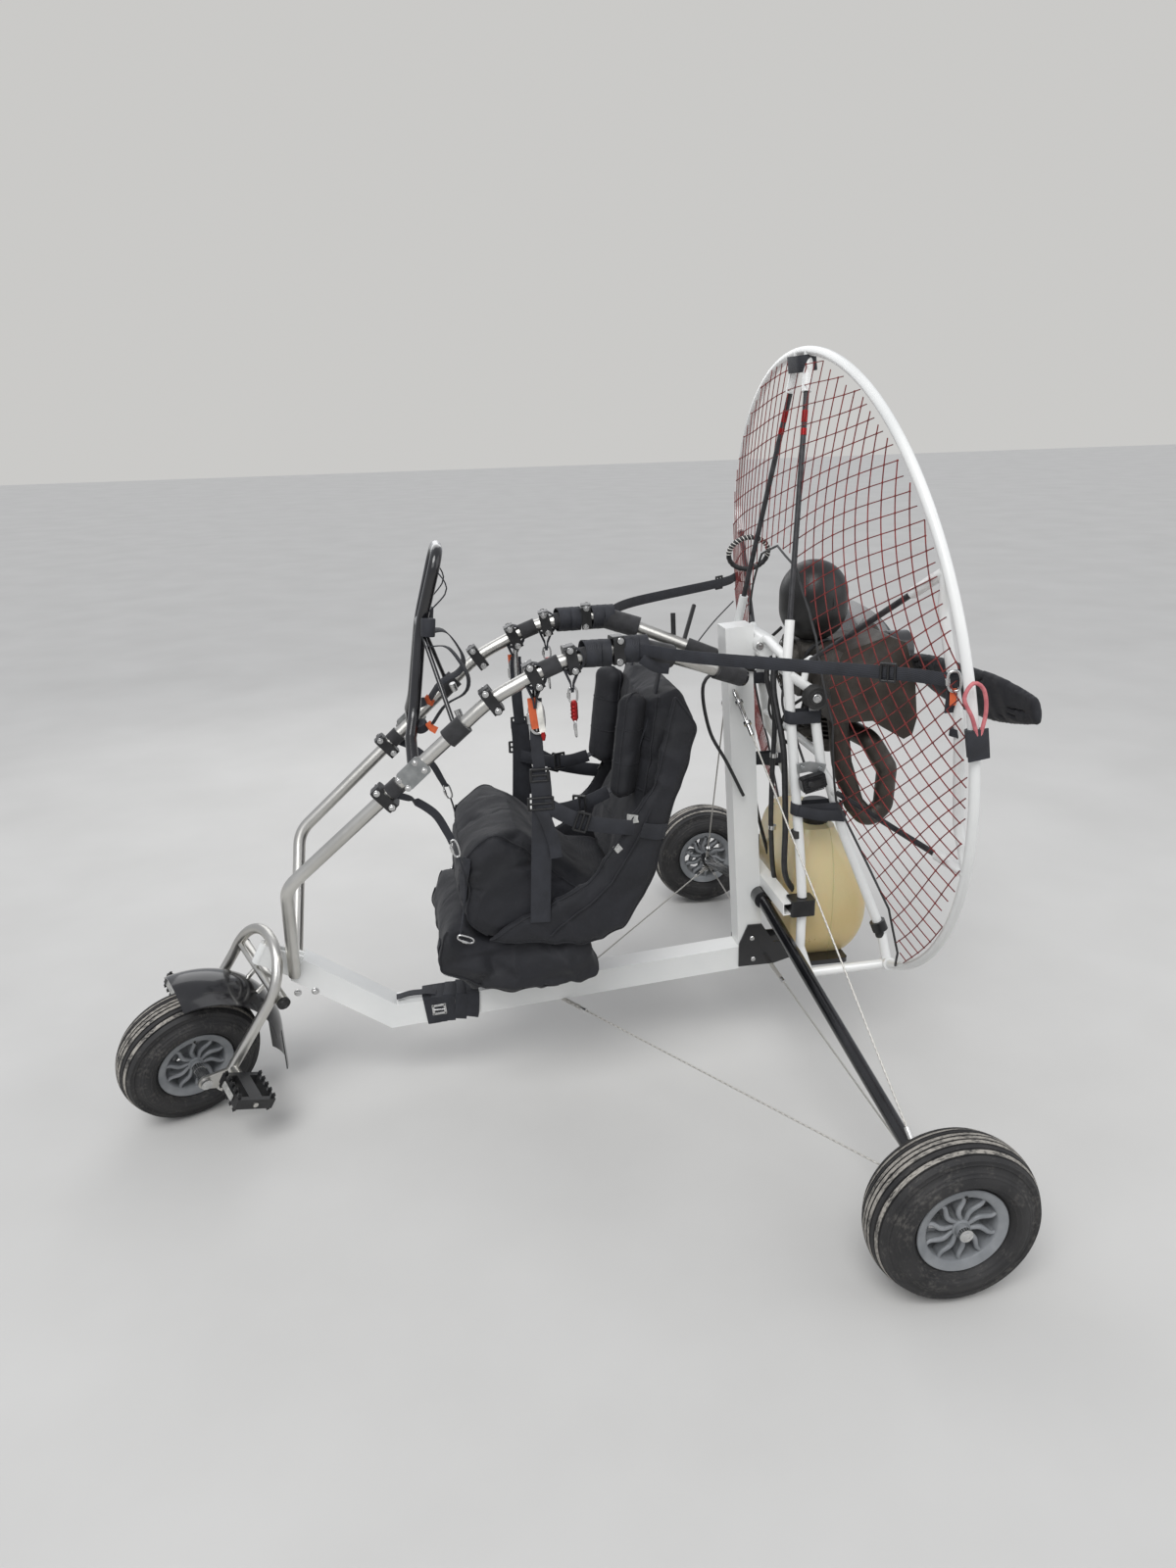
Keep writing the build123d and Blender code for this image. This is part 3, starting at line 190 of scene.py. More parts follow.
def fabric_of(name, dark, light, thread=210.0, sheen=0.06):
    """Woven cloth: two crossing sets of threads, wide soft folds and a faint dusty wear."""
    n = Nodes(name)
    drift = n.noise(9, 8)
    lint = n.spread(n.noise(160, 2), -0.5, 0.35)
    dusty = [c * 1.9 + 0.012 for c in light]
    n.set(Base_Color=n.mix(lint, n.ramp(drift, (0.32, dark), (0.72, light)), dusty),
          Roughness=n.spread(drift, 0.55, 0.8), Sheen_Weight=sheen, Sheen_Roughness=0.5)
    n.bump(n.product(n.wave(thread, "Z"), n.wave(thread, "X")), 0.0004, 0.7)
    n.bump(n.product(n.wave(thread, "Y"), n.noise(400, 2)), 0.0003, 0.5)
    n.bump(n.noise(14, 3), 0.010, 0.5)
    n.bump(n.wave(5, "DIAGONAL", 9), 0.012, 0.25)
    return n.material


def webbing_of(name, colour):
    """Flat woven strap, ribbed across, with a paler worn bloom."""
    n = Nodes(name)
    drift = n.noise(30, 6)
    worn = [c * 2 + 0.008 for c in colour]
    n.set(Base_Color=n.ramp(drift, (0.3, colour), (0.75, worn)), Roughness=n.spread(drift, 0.55, 0.8),
          Sheen_Weight=0.05)
    n.bump(n.wave(190, "DIAGONAL"), 0.0005, 0.8)
    n.bump(n.noise(700, 2), 0.0003, 0.6)
    return n.material


def bare_steel():
    """Drawn stainless tube: fine lengthwise scratches under a soft haze."""
    n = Nodes("drawn_steel")
    haze = n.noise(7, 6)
    lines = n.noise(60, 3, n.stretched((0.6, 9, 1.4)))
    n.set(Base_Color=n.ramp(haze, (0.3, (0.52, 0.51, 0.48)), (0.7, (0.66, 0.65, 0.62))), Metallic=1,
          Roughness=n.spread(lines, 0.24, 0.46))
    n.bump(lines, 0.0002, 0.6)
    return n.material


def wire_steel():
    """Stranded cable under a pale sleeve, its colour darker in the grooves of its lay: painted shade between the
    strands.
    """
    n = Nodes("stranded_wire")
    lay = n.wave(320, "DIAGONAL", 1)
    # the same wave makes the relief below, so its low grooves get the dark colour: painted shade between the
    # strands
    n.set(Base_Color=n.ramp(lay, (0.2, (0.36, 0.35, 0.32)), (0.8, (0.66, 0.64, 0.60))), Metallic=0.6,
          Roughness=n.spread(lay, 0.3, 0.5))
    n.bump(lay, 0.0004)
    return n.material


def tank_plastic():
    """Blow-moulded polyethylene, amber and cloudy, deeper in colour low down where the fuel stands."""
    n = Nodes("tank_plastic")
    level = n.spread(n.add("ShaderNodeSeparateXYZ", Vector=n.coords).outputs["Z"], start=0.40, stop=0.66)
    cloud = n.noise(7, 5)
    tall = n.ramp(level, (0, (0.60, 0.44, 0.18)), (1, (0.78, 0.66, 0.38)))
    n.set(Base_Color=n.mix(n.spread(cloud, 0, 0.5), tall, (0.82, 0.74, 0.48)),
          Roughness=n.spread(cloud, 0.22, 0.38), Subsurface_Weight=0.25, Subsurface_Scale=0.02,
          Transmission_Weight=0.12, Coat_Weight=0.25, Coat_Roughness=0.2)
    n.bump(n.noise(26, 3), 0.0016, 0.6)
    n.bump(n.noise(420, 2), 0.0002)
    return n.material


def burnt_steel():
    """Exhaust steel, brown and grey with heat and soot."""
    n = Nodes("burnt_steel")
    soot = n.noise(30, 6)
    warm = n.ramp(n.noise(9, 8), (0.3, (0.030, 0.025, 0.021)), (0.52, (0.070, 0.060, 0.050)),
                  (0.75, (0.13, 0.12, 0.11)))
    n.set(Base_Color=n.mix(n.spread(soot, -0.2, 0.9), warm, (0.03, 0.022, 0.018)), Metallic=0.55,
          Roughness=n.spread(soot, 0.34, 0.62))
    n.bump(n.noise(240, 4), 0.0005)
    return n.material


def tyre_rubber(name, start, stop, most):
    """Tyre rubber with dry pale dust, worn off in patches, that grows to its most between two levels."""
    n = Nodes(name)
    patches = n.noise(26, 8)
    streaks = n.noise(120, 3, n.stretched((1, 3.5, 1)))
    clean = n.ramp(n.noise(14, 5), (0.3, (0.010, 0.010, 0.011)), (0.7, (0.028, 0.027, 0.027)))
    film = n.spread(n.product(patches, streaks), 0, most, start, stop)
    n.set(Base_Color=n.mix(film, clean, (0.40, 0.375, 0.335)), Roughness=n.spread(patches, 0.6, 0.85))
    n.bump(n.noise(260, 4), 0.0005)
    return n.material


PLAIN_FINISHES = [
    # slot, name, dark and light colour, grain, roughness, relief as scale and depth, other sockets
    ("rim", "rim_plastic", (0.17, 0.18, 0.19), (0.27, 0.28, 0.29), 22, (0.38, 0.55), [(260, 0.0002)], {}),
    ("white_paint", "white_paint", (0.70, 0.71, 0.70), (0.82, 0.82, 0.80), 4, (0.24, 0.42), [(90, 0.00015)],
     {"Coat_Weight": 0.35, "Coat_Roughness": 0.15}),
    ("black_paint", "black_paint", (0.004, 0.004, 0.005), (0.012, 0.012, 0.014), 12, (0.14, 0.3),
     [(120, 0.0001)], {"Coat_Weight": 0.6, "Coat_Roughness": 0.08}),
    ("black_plastic", "black_plastic", (0.006, 0.006, 0.0065), (0.018, 0.018, 0.019), 40, (0.24, 0.42),
     [(520, 0.00025)], {}),
    ("rubber", "black_rubber", (0.012, 0.012, 0.012), (0.035, 0.034, 0.033), 30, (0.55, 0.8),
     [(300, 0.0003)], {}),
    ("foam", "foam_sleeve", (0.01, 0.01, 0.011), (0.032, 0.032, 0.035), 45, (0.7, 0.92),
     [(420, 0.0006), (60, 0.0015)], {"Sheen_Weight": 0.2}),
    ("airbox", "airbox_plastic", (0.006, 0.006, 0.006), (0.020, 0.019, 0.018), 16, (0.28, 0.48),
     [(380, 0.0003)], {}),
    ("carbon", "spar_sheath", (0.012, 0.012, 0.014), (0.04, 0.04, 0.043), 70, (0.35, 0.6),
     [(480, 0.0002)], {}),
    ("blade", "blade_lacquer", (0.012, 0.012, 0.013), (0.03, 0.03, 0.032), 18, (0.12, 0.25), [(60, 0.0001)],
     {"Coat_Weight": 0.6, "Coat_Roughness": 0.06}),
    ("links", "polished_steel", (0.45, 0.45, 0.45), (0.68, 0.68, 0.67), 60, (0.16, 0.34), [(300, 0.0001)],
     {"Metallic": 1}),
    ("grey_metal", "dull_alloy", (0.27, 0.28, 0.28), (0.40, 0.41, 0.41), 50, (0.35, 0.5), [(350, 0.0002)],
     {"Metallic": 0.9}),
    ("engine", "cast_alloy", (0.035, 0.032, 0.028), (0.16, 0.15, 0.135), 26, (0.42, 0.7),
     [(180, 0.0012), (600, 0.0004)], {"Metallic": 0.7}),
    ("net", "net_cord", (0.10, 0.010, 0.010), (0.25, 0.030, 0.026), 60, (0.6, 0.85), [(900, 0.0005)], {}),
    ("red", "red_anodised", (0.20, 0.008, 0.010), (0.42, 0.02, 0.02), 50, (0.2, 0.35), [(400, 0.0001)],
     {"Metallic": 0.7}),
    ("pink", "pink_cord", (0.42, 0.10, 0.12), (0.62, 0.20, 0.21), 80, (0.5, 0.7), [(700, 0.0006)], {}),
    ("lens", "grey_lens", (0.28, 0.28, 0.27), (0.44, 0.44, 0.42), 90, (0.2, 0.35), [(500, 0.0004)], {}),
    ("cable", "cable_sheath", (0.010, 0.010, 0.011), (0.03, 0.03, 0.031), 60, (0.4, 0.6),
     [(600, 0.0002)], {}),
]
finishes = {slot: finish_of(*row, **more) for slot, *row, more in PLAIN_FINISHES}
finishes |= {
    "black_fabric": fabric_of("black_fabric", (0.0035, 0.004, 0.0065), (0.009, 0.0095, 0.014)),
    "webbing": webbing_of("black_webbing", (0.008, 0.009, 0.013)),
    "orange": webbing_of("orange_webbing", (0.42, 0.075, 0.02)),
    "pale": webbing_of("pale_webbing", (0.55, 0.54, 0.50)),
    "bare_steel": bare_steel(),
    "wire": wire_steel(),
    "tank": tank_plastic(),
    "exhaust": burnt_steel(),
    "tyre": tyre_rubber("tyre_rubber", 0.27, 0.55, 0.2),
    "tread": tyre_rubber("tread_dust", 0.13, 0.27, 0.8),
}

for part in frame["record"]["subparts"]:
    node = nodes[part["node"]]
    if not node.material_slots:
        node.data.materials.append(None)
    for place in node.material_slots:
        place.material = finishes[part["material_slot"]]
nodes["fork"].material_slots[0].material = finishes["bare_steel"]
nodes["mudguard"].material_slots[0].material = finishes["black_paint"]


# Mesh helpers
CREASE = radians(38)


def piece(name, bm, slot, *finish_names, body="frame"):
    """Makes an object of a bmesh, gives it its finishes, or its slot's, and lets it ride on a body."""
    mesh = bpy.data.meshes.new(name)
    bmesh.ops.recalc_face_normals(bm, faces=bm.faces)
    bm.to_mesh(mesh)
    bm.free()
    obj = bpy.data.objects.new(name, mesh)
    bpy.context.scene.collection.objects.link(obj)
    for finish_name in finish_names or (slot,):
        mesh.materials.append(finishes[finish_name])
    mesh.shade_smooth()
    mesh.set_sharp_from_angle(angle=CREASE)
    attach(obj, body)
    return obj


def bent(points, step=0.008):
    """Points along a smooth curve through the given ones, about a step apart."""
    if len(points) == 2:
        count = max(1, round((points[1] - points[0]).length / step))
        return [points[0].lerp(points[1], i / count) for i in range(count)] + [points[1]]
    padded = [points[0] * 2 - points[1]] + points + [points[-1] * 2 - points[-2]]
    result = []
    for p0, p1, p2, p3 in zip(padded, padded[1:], padded[2:], padded[3:]):
        count = max(2, round((p2 - p1).length / step))
        for i in range(count):
            t = i / count
            result.append(0.5 * (2 * p1 + (p2 - p0) * t + (2 * p0 - 5 * p1 + 4 * p2 - p3) * t * t
                                 + (3 * p1 - p0 - 3 * p2 + p3) * t * t * t))
    return result + [points[-1]]


def skin(bm, rings, index=0, closed=False, cap=True):
    """Joins rings of vertices by faces. index is one finish's number or one for each place in a ring."""
    for low, high in zip(rings, rings[1:] + rings[:1] if closed else rings[1:]):
        for k in range(len(low)):
            nxt = (k + 1) % len(low)
            face = bm.faces.new((low[k], low[nxt], high[nxt], high[k]))
            face.material_index = index[k] if hasattr(index, "__len__") else index
    if cap and not closed:
        for end in (rings[0][::-1], rings[-1]):
            bm.faces.new(end).material_index = index


def heading(line, i):
    """The way along a line at one of its points."""
    return (line[min(i + 1, len(line) - 1)] - line[max(i - 1, 0)]).normalized()


def tube(bm, line, radius, sides=10, cap=True, index=0):
    """Adds a round tube along a line of points. radius is a number or one for each point."""
    radii = radius if hasattr(radius, "__len__") else [radius] * len(line)
    side = heading(line, 0).orthogonal().normalized()
    rings = []
    for i, (point, r) in enumerate(zip(line, radii)):
        tangent = heading(line, i)
        side = (side - tangent * side.dot(tangent)).normalized()
        other = tangent.cross(side)
        ways = [side * cos(a) + other * sin(a) for a in angles(sides)]
        rings.append([bm.verts.new(point + way * r) for way in ways])
    skin(bm, rings, index, cap=cap)


def bar(bm, a, b, radius, sides=20, index=0, edge=0.0006):
    """Adds a straight round bar from a to b with softened ends."""
    way = (b - a).normalized()
    edge = min(edge, radius / 3, (b - a).length / 4)
    radii = [radius - edge, radius, radius, radius - edge]
    tube(bm, [a, a + way * edge, b - way * edge, b], radii, sides, True, index)


def collar(bm, a, b, radius, edge, share=0.06, sides=20, index=0):
    """Adds a sleeve from a to b, narrower by edge over a share of its length at both ends."""
    line = [a, a.lerp(b, share), a.lerp(b, 1 - share), b]
    tube(bm, line, [radius - edge, radius, radius, radius - edge], sides, True, index)


def block(bm, middle, axes, sizes, index=0, soft=0.0015):
    """Adds a box with softened edges, given its middle, its axes and its sizes."""
    made = bmesh.ops.create_cube(bm, size=1.0)["verts"]
    turn = Matrix([axis.normalized() for axis in axes]).transposed().to_4x4()
    place = Matrix.Translation(middle) @ turn @ Matrix.Diagonal((*sizes, 1))
    bmesh.ops.transform(bm, matrix=place, verts=made)
    for face in {face for vert in made for face in vert.link_faces}:
        face.material_index = index
    edges = list({edge for vert in made for edge in vert.link_edges})
    bmesh.ops.bevel(bm, geom=edges, offset=min(soft, min(sizes) / 3), segments=2, affect="EDGES", material=-1)


STRAP_EDGE = ((-1, -0.6), (-0.94, -1), (0.94, -1), (1, -0.6), (1, 0.6), (0.94, 1), (-0.94, 1), (-1, 0.6))


def ribbon(bm, line, width, thickness, across, fold=0.0, index=0):
    """Adds a flat strap along a line. across is its width's direction, one for all or one for each point."""
    many = hasattr(across[0], "__len__")
    rings = []
    for i, point in enumerate(line):
        tangent = heading(line, i)
        wide = Vector(across[round(i * (len(across) - 1) / (len(line) - 1))] if many else across)
        wide = (wide - tangent * wide.dot(tangent)).normalized() * width / 2
        out = tangent.cross(wide).normalized() * thickness / 2
        middle = point + out * fold * sin(i * 0.9)
        rings.append([bm.verts.new(middle + wide * u + out * v) for u, v in STRAP_EDGE])
    skin(bm, rings, index)


def strap(bm, side, points, width, thickness, across, fold=0.0, index=0, step=0.008):
    """Adds a flat strap along a smooth curve through places given as ahead, port and up."""
    ribbon(bm, bent(path(side, *points), step), width, thickness, across, fold, index)


def bolt(bm, place, out, radius=0.005, tall=0.004, index=0):
    """Adds a hexagon bolt head on a washer."""
    out = out.normalized()
    bar(bm, place - out * 0.001, place + out * 0.0012, radius * 1.5, 20, index)
    line = [place, place + out * tall * 0.85, place + out * tall]
    tube(bm, line, [radius, radius, radius * 0.85], 6, True, index)


def ring(bm, middle, axis, radius, wire, turns=28, sides=8, index=0):
    """Adds a round ring of wire about an axis."""
    axis = axis.normalized()
    side = axis.orthogonal().normalized()
    other = axis.cross(side)
    rings = []
    for a in angles(turns):
        out = side * cos(a) + other * sin(a)
        rings.append([bm.verts.new(middle + out * (radius + wire * cos(t)) + axis * (wire * sin(t)))
                      for t in angles(sides)])
    skin(bm, rings, index, closed=True)


def tree_of(mesh):
    """A search tree of a mesh's surface."""
    bm = bmesh.new()
    bm.from_mesh(mesh)
    tree = BVHTree.FromBMesh(bm)
    bm.free()
    return tree


def wheel_axes(wheel):
    """A wheel's middle and axle, and the ways up and ahead across the axle."""
    joint = joints[f"{wheel}_wheel_spin"]
    centre, axle = Vector(joint["pos_m"]), Vector(joint["axis"]).normalized()
    out = (UP - axle * axle.z).normalized()
    return centre, axle, out, axle.cross(out)


def turned(bm, wheel, section, turns, index=0):
    """Adds a section, as across and radius, turned about a wheel's axle."""
    centre, axle, out, ahead = wheel_axes(wheel)
    rings = []
    for a in angles(turns):
        way = out * cos(a) + ahead * sin(a)
        rings.append([bm.verts.new(centre + axle * across + way * radius) for across, radius, *_ in section])
    skin(bm, rings, index, closed=True)


# Tyres: rounded casings with a ribbed tread, bead and sidewall rings
WHEELS = ("left", "right", "front")
TYRE_R = 0.165
TYRE_HALF = 0.0625
TREAD_HALF = TYRE_HALF - 0.014
BEAD_R = 0.0763
RIM_R = 0.088
BEAD_HALF = 0.0435
SAG = 0.015
RIBS = 9
DUSTY_RIBS = (1, 3, 4, 5, 7)
GROOVE = 0.0040
GROOVE_SHARE = 0.17
TYRE_TURNS = 120
WALL_STEPS = 30
WALL_RINGS = (4, 7, 8, 17, 20, 23, 26)
WALL_RING = 0.0012


def crown(across):
    """The tread's radius at a distance from the tyre's middle."""
    return TYRE_R - SAG * (across / TREAD_HALF) ** 2


def tyre_profile():
    """The tyre's section as (across, radius, is dusty), from the left bead to the right one."""
    wall = []
    for i in range(WALL_STEPS + 1):
        t = i / WALL_STEPS
        low, high = RIM_R + 0.002, TYRE_R - SAG
        across = BEAD_HALF + (TYRE_HALF - BEAD_HALF) * sin(pi * min(1, t * 1.18) ** 0.8 / 1.02)
        across = max(across, BEAD_HALF if t < 0.5 else TREAD_HALF + 0.0005)
        wall.append((across + (WALL_RING if i in WALL_RINGS else 0), low + (high - low) * t, False))
    tread = []
    width = 2 * TREAD_HALF / RIBS
    groove = width * GROOVE_SHARE
    for rib in range(RIBS):
        start = TREAD_HALF - rib * width
        for across in (start - groove, start - width * 0.5, start - width + groove):
            tread.append((across, crown(across), rib in DUSTY_RIBS))
        if rib < RIBS - 1:
            for across in (start - width + groove * 0.55, start - width - groove * 0.55):
                tread.append((across, crown(across) - GROOVE, False))
    left = [(BEAD_HALF, BEAD_R, False)] + wall
    return left + tread + [(-a, r, dusty) for a, r, dusty in reversed(left)]


profile = tyre_profile()
dusts = [int(a[2] and b[2]) for a, b in zip(profile, profile[1:] + profile[:1])]
for wheel in WHEELS:
    bm = bmesh.new()
    turned(bm, wheel, profile, TYRE_TURNS, dusts)
    tyre = piece(f"tyre_{wheel}_ribbed", bm, "tyre", "tyre", "tread", body=f"{wheel}_wheel")
    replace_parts(tyre, f"tyre_{wheel}")


# Rims: dished flanges with curved, forked spokes round a hub
SPOKES = 10
RIM_TURNS = 96
RIM_SECTION = [
    # across and radius, half of it
    (0.0440, 0.0768), (0.0446, 0.0790), (0.0450, 0.0850), (0.0458, 0.0876), (0.0478, 0.0880),
    (0.0490, 0.0866), (0.0484, 0.0820), (0.0462, 0.0745), (0.0440, 0.0700), (0.0425, 0.0688), (0.0300, 0.0675), (0.0, 0.0665),
]
RIM_BACK = [(0.0, 0.0720), (0.0250, 0.0724), (0.0360, 0.0742), (0.0420, 0.0768)]
HUB = [
    # across and radius, half of it
    (0.0535, 0.0120), (0.052, 0.0135), (0.042, 0.0140), (0.040, 0.0175),
]
for wheel in WHEELS:
    centre, axle, out, ahead = wheel_axes(wheel)
    half = RIM_SECTION[::-1] + RIM_BACK[::-1]
    bm = bmesh.new()
    turned(bm, wheel, half[:-1] + [(-a, r) for a, r in reversed(half)][:-1], RIM_TURNS)
    for k in range(SPOKES):
        for face in SIDES:
            spoke = []
            for t in np.linspace(0, 1, 15):
                a = radians(360 / SPOKES * k + face * (9 * sin(5.2 * t) + 10 * t))
                radius, across = 0.013 + 0.056 * t, face * (0.036 + 0.003 * t)
                spoke.append(centre + (out * cos(a) + ahead * sin(a)) * radius + axle * across)
            tube(bm, spoke, [0.0036 + 0.0016 * sin(pi * t) for t in np.linspace(0, 1, 15)], 10)
            ribbon(bm, [p - axle * face * 0.010 for p in spoke], 0.020, 0.0038, axle)
    hub = HUB + [(-a, r) for a, r in reversed(HUB)]
    tube(bm, [centre - axle * a for a, _ in hub], [r for _, r in hub], 40)
    rim = piece(f"rim_{wheel}_spoked", bm, "rim", body=f"{wheel}_wheel")
    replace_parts(rim, f"rim_{wheel}")


# Netting: knotted square mesh stretched over the spars and edged with black cord
CAGE_R = 0.703
CAGE_RAKE = radians(7)
CAGE_MIDDLE = at(-63, 0, 983)
CAGE_UPWARD = Vector((sin(CAGE_RAKE), 0, cos(CAGE_RAKE)))
CAGE_NORMAL = Vector((cos(CAGE_RAKE), 0, -sin(CAGE_RAKE)))
NET_SEAT = 0.010
NET_DEPTH = 0.150
NET_FLAT_R = 0.150
NET_REACH = 1.1
NET_CELL = 0.042
NET_STEP = 0.021
NET_CORD_R = 0.0012
KNOT = 0.0024
KEYHOLE = [
    # port, and above the hoop's middle in its plane, in millimetres
    (262, -720), (358, -570), (370, -450), (318, -358), (240, -230), (283, -39), (230, 139), (197, 189),
    (118, 273), (0, 305),
]
keyhole = [(y * MM, z * MM) for y, z in KEYHOLE]
keyhole += [(-y, z) for y, z in reversed(keyhole[:-1])]


def on_net(p, q):
    """The place on the net's cone over a place in the cage's plane."""
    lift = NET_SEAT + NET_DEPTH * (1 - max(hypot(p, q), NET_FLAT_R) / CAGE_R)
    return CAGE_MIDDLE + PORT * p + CAGE_UPWARD * q + CAGE_NORMAL * (lift + 0.001)


def netted(p, q, edge):
    """Whether the net covers a place in the cage's plane, at least an edge away from the hoop."""
    inside = False
    for (y1, z1), (y2, z2) in zip(keyhole, keyhole[1:] + keyhole[:1]):
        if (z1 > q) != (z2 > q) and p < (y2 - y1) * (q - z1) / (z2 - z1) + y1:
            inside = not inside
    return hypot(p, q) < CAGE_R - edge and not inside


def warped(u, v):
    """Where the net's own square grid comes to lie in the cage's plane, pulled about by its lacing."""
    turn = radians(25 - 30 * v)
    pull = 0.010 * sin(9 * u + 1.3) * sin(7 * v)
    return (u * cos(turn) - v * sin(turn) + pull,
            u * sin(turn) + v * cos(turn) - pull * 0.7)


def steps(step):
    """Places from one end of the net's reach to the other."""
    return np.arange(-NET_REACH, NET_REACH, step)


bm = bmesh.new()
for swapped in (False, True):
    for line_at in steps(NET_CELL):
        strands = [[]]
        for along in steps(NET_STEP):
            p, q = warped(line_at, along) if swapped else warped(along, line_at)
            if netted(p, q, 0.004):
                strands[-1].append(on_net(p, q))
            elif strands[-1]:
                strands.append([])
        for strand in strands:
            if len(strand) > 1:
                tube(bm, strand, NET_CORD_R, 4, False)
for u in steps(NET_CELL):
    for v in steps(NET_CELL):
        p, q = warped(u, v)
        if netted(p, q, 0.01):
            way = (on_net(p + 0.003, q) - on_net(p - 0.003, q)).normalized() * KNOT
            tube(bm, [on_net(p, q) - way, on_net(p, q), on_net(p, q) + way], [KNOT / 2, KNOT, KNOT / 2], 5)
edge_line = []
for (y1, z1), (y2, z2) in zip(keyhole, keyhole[1:]):
    for t in np.arange(6) / 6:
        p, q = y1 + (y2 - y1) * t, z1 + (z2 - z1) * t
        if hypot(p, q) < CAGE_R:
            edge_line.append(on_net(p, q))
tube(bm, edge_line, 0.0026, 8, True, 1)
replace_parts(piece("net_cords", bm, "net", "net", "cable"), "cage_net")


# Soft pieces: remeshed forms that a cloth simulation swells, then folds, seams and straps
scene = bpy.context.scene
CLOTH_FRAMES = 20
PRESSURE = 4.0
STIFFNESS = 12.0


def baked(obj):
    """Replaces an object's mesh by what its modifiers make of it."""
    bpy.context.view_layer.update()
    graph = bpy.context.evaluated_depsgraph_get()
    made = bpy.data.meshes.new_from_object(obj.evaluated_get(graph), depsgraph=graph)
    old = obj.data
    obj.modifiers.clear()
    obj.data = made
    bpy.data.meshes.remove(old)


def places(mesh, kind="co"):
    """Every vertex's place, or its normal, as rows."""
    source, field = (mesh.vertices, "co") if kind == "co" else (mesh.vertex_normals, "vector")
    values = np.empty(len(mesh.vertices) * 3)
    source.foreach_get(field, values)
    return values.reshape(-1, 3)


def soft_form(name, covered, voxel, shrink, rounds, fill):
    """Starts a soft piece from a CAD solid: its mesh remeshed, rounded and drawn in by shrink."""
    obj = bpy.data.objects.new(name, nodes[covered].data.copy())
    scene.collection.objects.link(obj)
    remesh = obj.modifiers.new("remesh", "REMESH")
    remesh.mode = "VOXEL"
    remesh.voxel_size = voxel
    baked(obj)
    bm = bmesh.new()
    bm.from_mesh(obj.data)
    every_way = {"use_axis_x": True, "use_axis_y": True, "use_axis_z": True}
    for _ in range(rounds):
        bmesh.ops.smooth_vert(bm, verts=bm.verts, factor=0.5, **every_way)
    bm.normal_update()
    for vert in bm.verts:
        vert.co -= vert.normal * shrink
    bm.to_mesh(obj.data)
    bm.free()
    obj.data.materials.clear()
    obj.data.materials.append(finishes["black_fabric"])
    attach(obj, "frame")
    return obj


def swell(objects):
    """Runs the cloth of all soft pieces together."""
    for obj in objects:
        cloth = obj.modifiers.new("cloth", "CLOTH").settings
        cloth.quality = 4
        cloth.mass = 0.3
        cloth.tension_stiffness = cloth.compression_stiffness = STIFFNESS
        cloth.shear_stiffness = STIFFNESS / 2
        cloth.bending_stiffness = 0.4
        cloth.use_pressure = True
        cloth.uniform_pressure_force = PRESSURE
        cloth.effector_weights.gravity = 0
    for number in range(1, CLOTH_FRAMES + 1):
        scene.frame_set(number)
    for obj in objects:
        baked(obj)
    scene.frame_set(1)


def folded(obj, start, cap, fold, half, level):
    """Holds each point within a cap of its start, adds the folds, flattens the flanks and smooths."""
    mesh = obj.data
    move = places(mesh) - start
    length = np.linalg.norm(move, axis=1, keepdims=True)
    now = start + move * np.minimum(1.0, cap / np.maximum(length, 1e-9))
    mesh.vertices.foreach_set("co", now.ravel())
    mesh.update()
    normals = places(mesh, "normal")
    lift = np.array([fold(Vector(p), Vector(n)) for p, n in zip(now, normals)])
    now = now + normals * lift[:, None]
    if half:
        now[:, 1] = np.clip(now[:, 1], -half, half)
    mesh.vertices.foreach_set("co", now.ravel())
    mesh.update()
    if level:
        obj.modifiers.new("smooth", "SUBSURF").levels = level
        baked(obj)
    obj.data.shade_smooth()


def crease(p, ax, az, scale, sharp=2.0):
    """Folds that run along one direction of the side view, given by its slope."""
    along = p.x * ax + p.z * az
    over = -p.x * az + p.z * ax
    q = Vector((along * scale * 0.3, p.y * scale * 0.45, over * scale + 0.35 * noise.noise(p * 9.0)))
    return max(0.0, 1 - abs(noise.noise(q)) * 2.4) ** sharp


def groove(p, height, width):
    """A soft groove at a height, from 0 beside it to 1 in it."""
    return exp(-((p.z - height) / width) ** 2)


def pan_fold(p, n):
    front = 0.0035 * crease(p, 0.9, 0.35, 16.0) * (0.3 + abs(n.y))
    tuck = 0.006 * groove(p, 0.628, 0.007) * (1 if p.x > AXLE_X + 0.66 else 0.25)
    pleat = 0.004 * groove(p, 0.578, 0.006) * (1 if p.x > AXLE_X + 0.6 else 0.0)
    return 0.002 * noise.noise(p * 18) + front - tuck - pleat


def back_fold(p, n):
    channels = 0.004 * abs(cos(pi * (p.z - 0.56) / 0.115)) ** 0.5 if n.x > 0.2 else 0.004
    return channels - 0.004 + 0.002 * noise.noise(p * 16) + 0.003 * crease(p, 0.3, 0.9, 15.0)


def bag_fold(p, n):
    low = max(0.0, min(1.0, (0.46 - p.z) / 0.09))
    gather = 0.017 * crease(p, 0.93, -0.22, 19.0, 1.5) * low
    drape = 0.011 * crease(p, 0.5, 0.8, 12.0) * abs(n.y)
    return gather + drape + 0.004 * noise.noise(p * 11) - 0.003


def side_fold(p, n):
    return 0.007 * crease(p, 0.55, 0.8, 13.0) + 0.004 * noise.noise(p * 12)


def cover_fold(p, n):
    return 0.0005 * crease(Vector((p.z, p.x, p.y)), 1.0, 0.1, 26.0) + 0.0006 * noise.noise(p * 12)


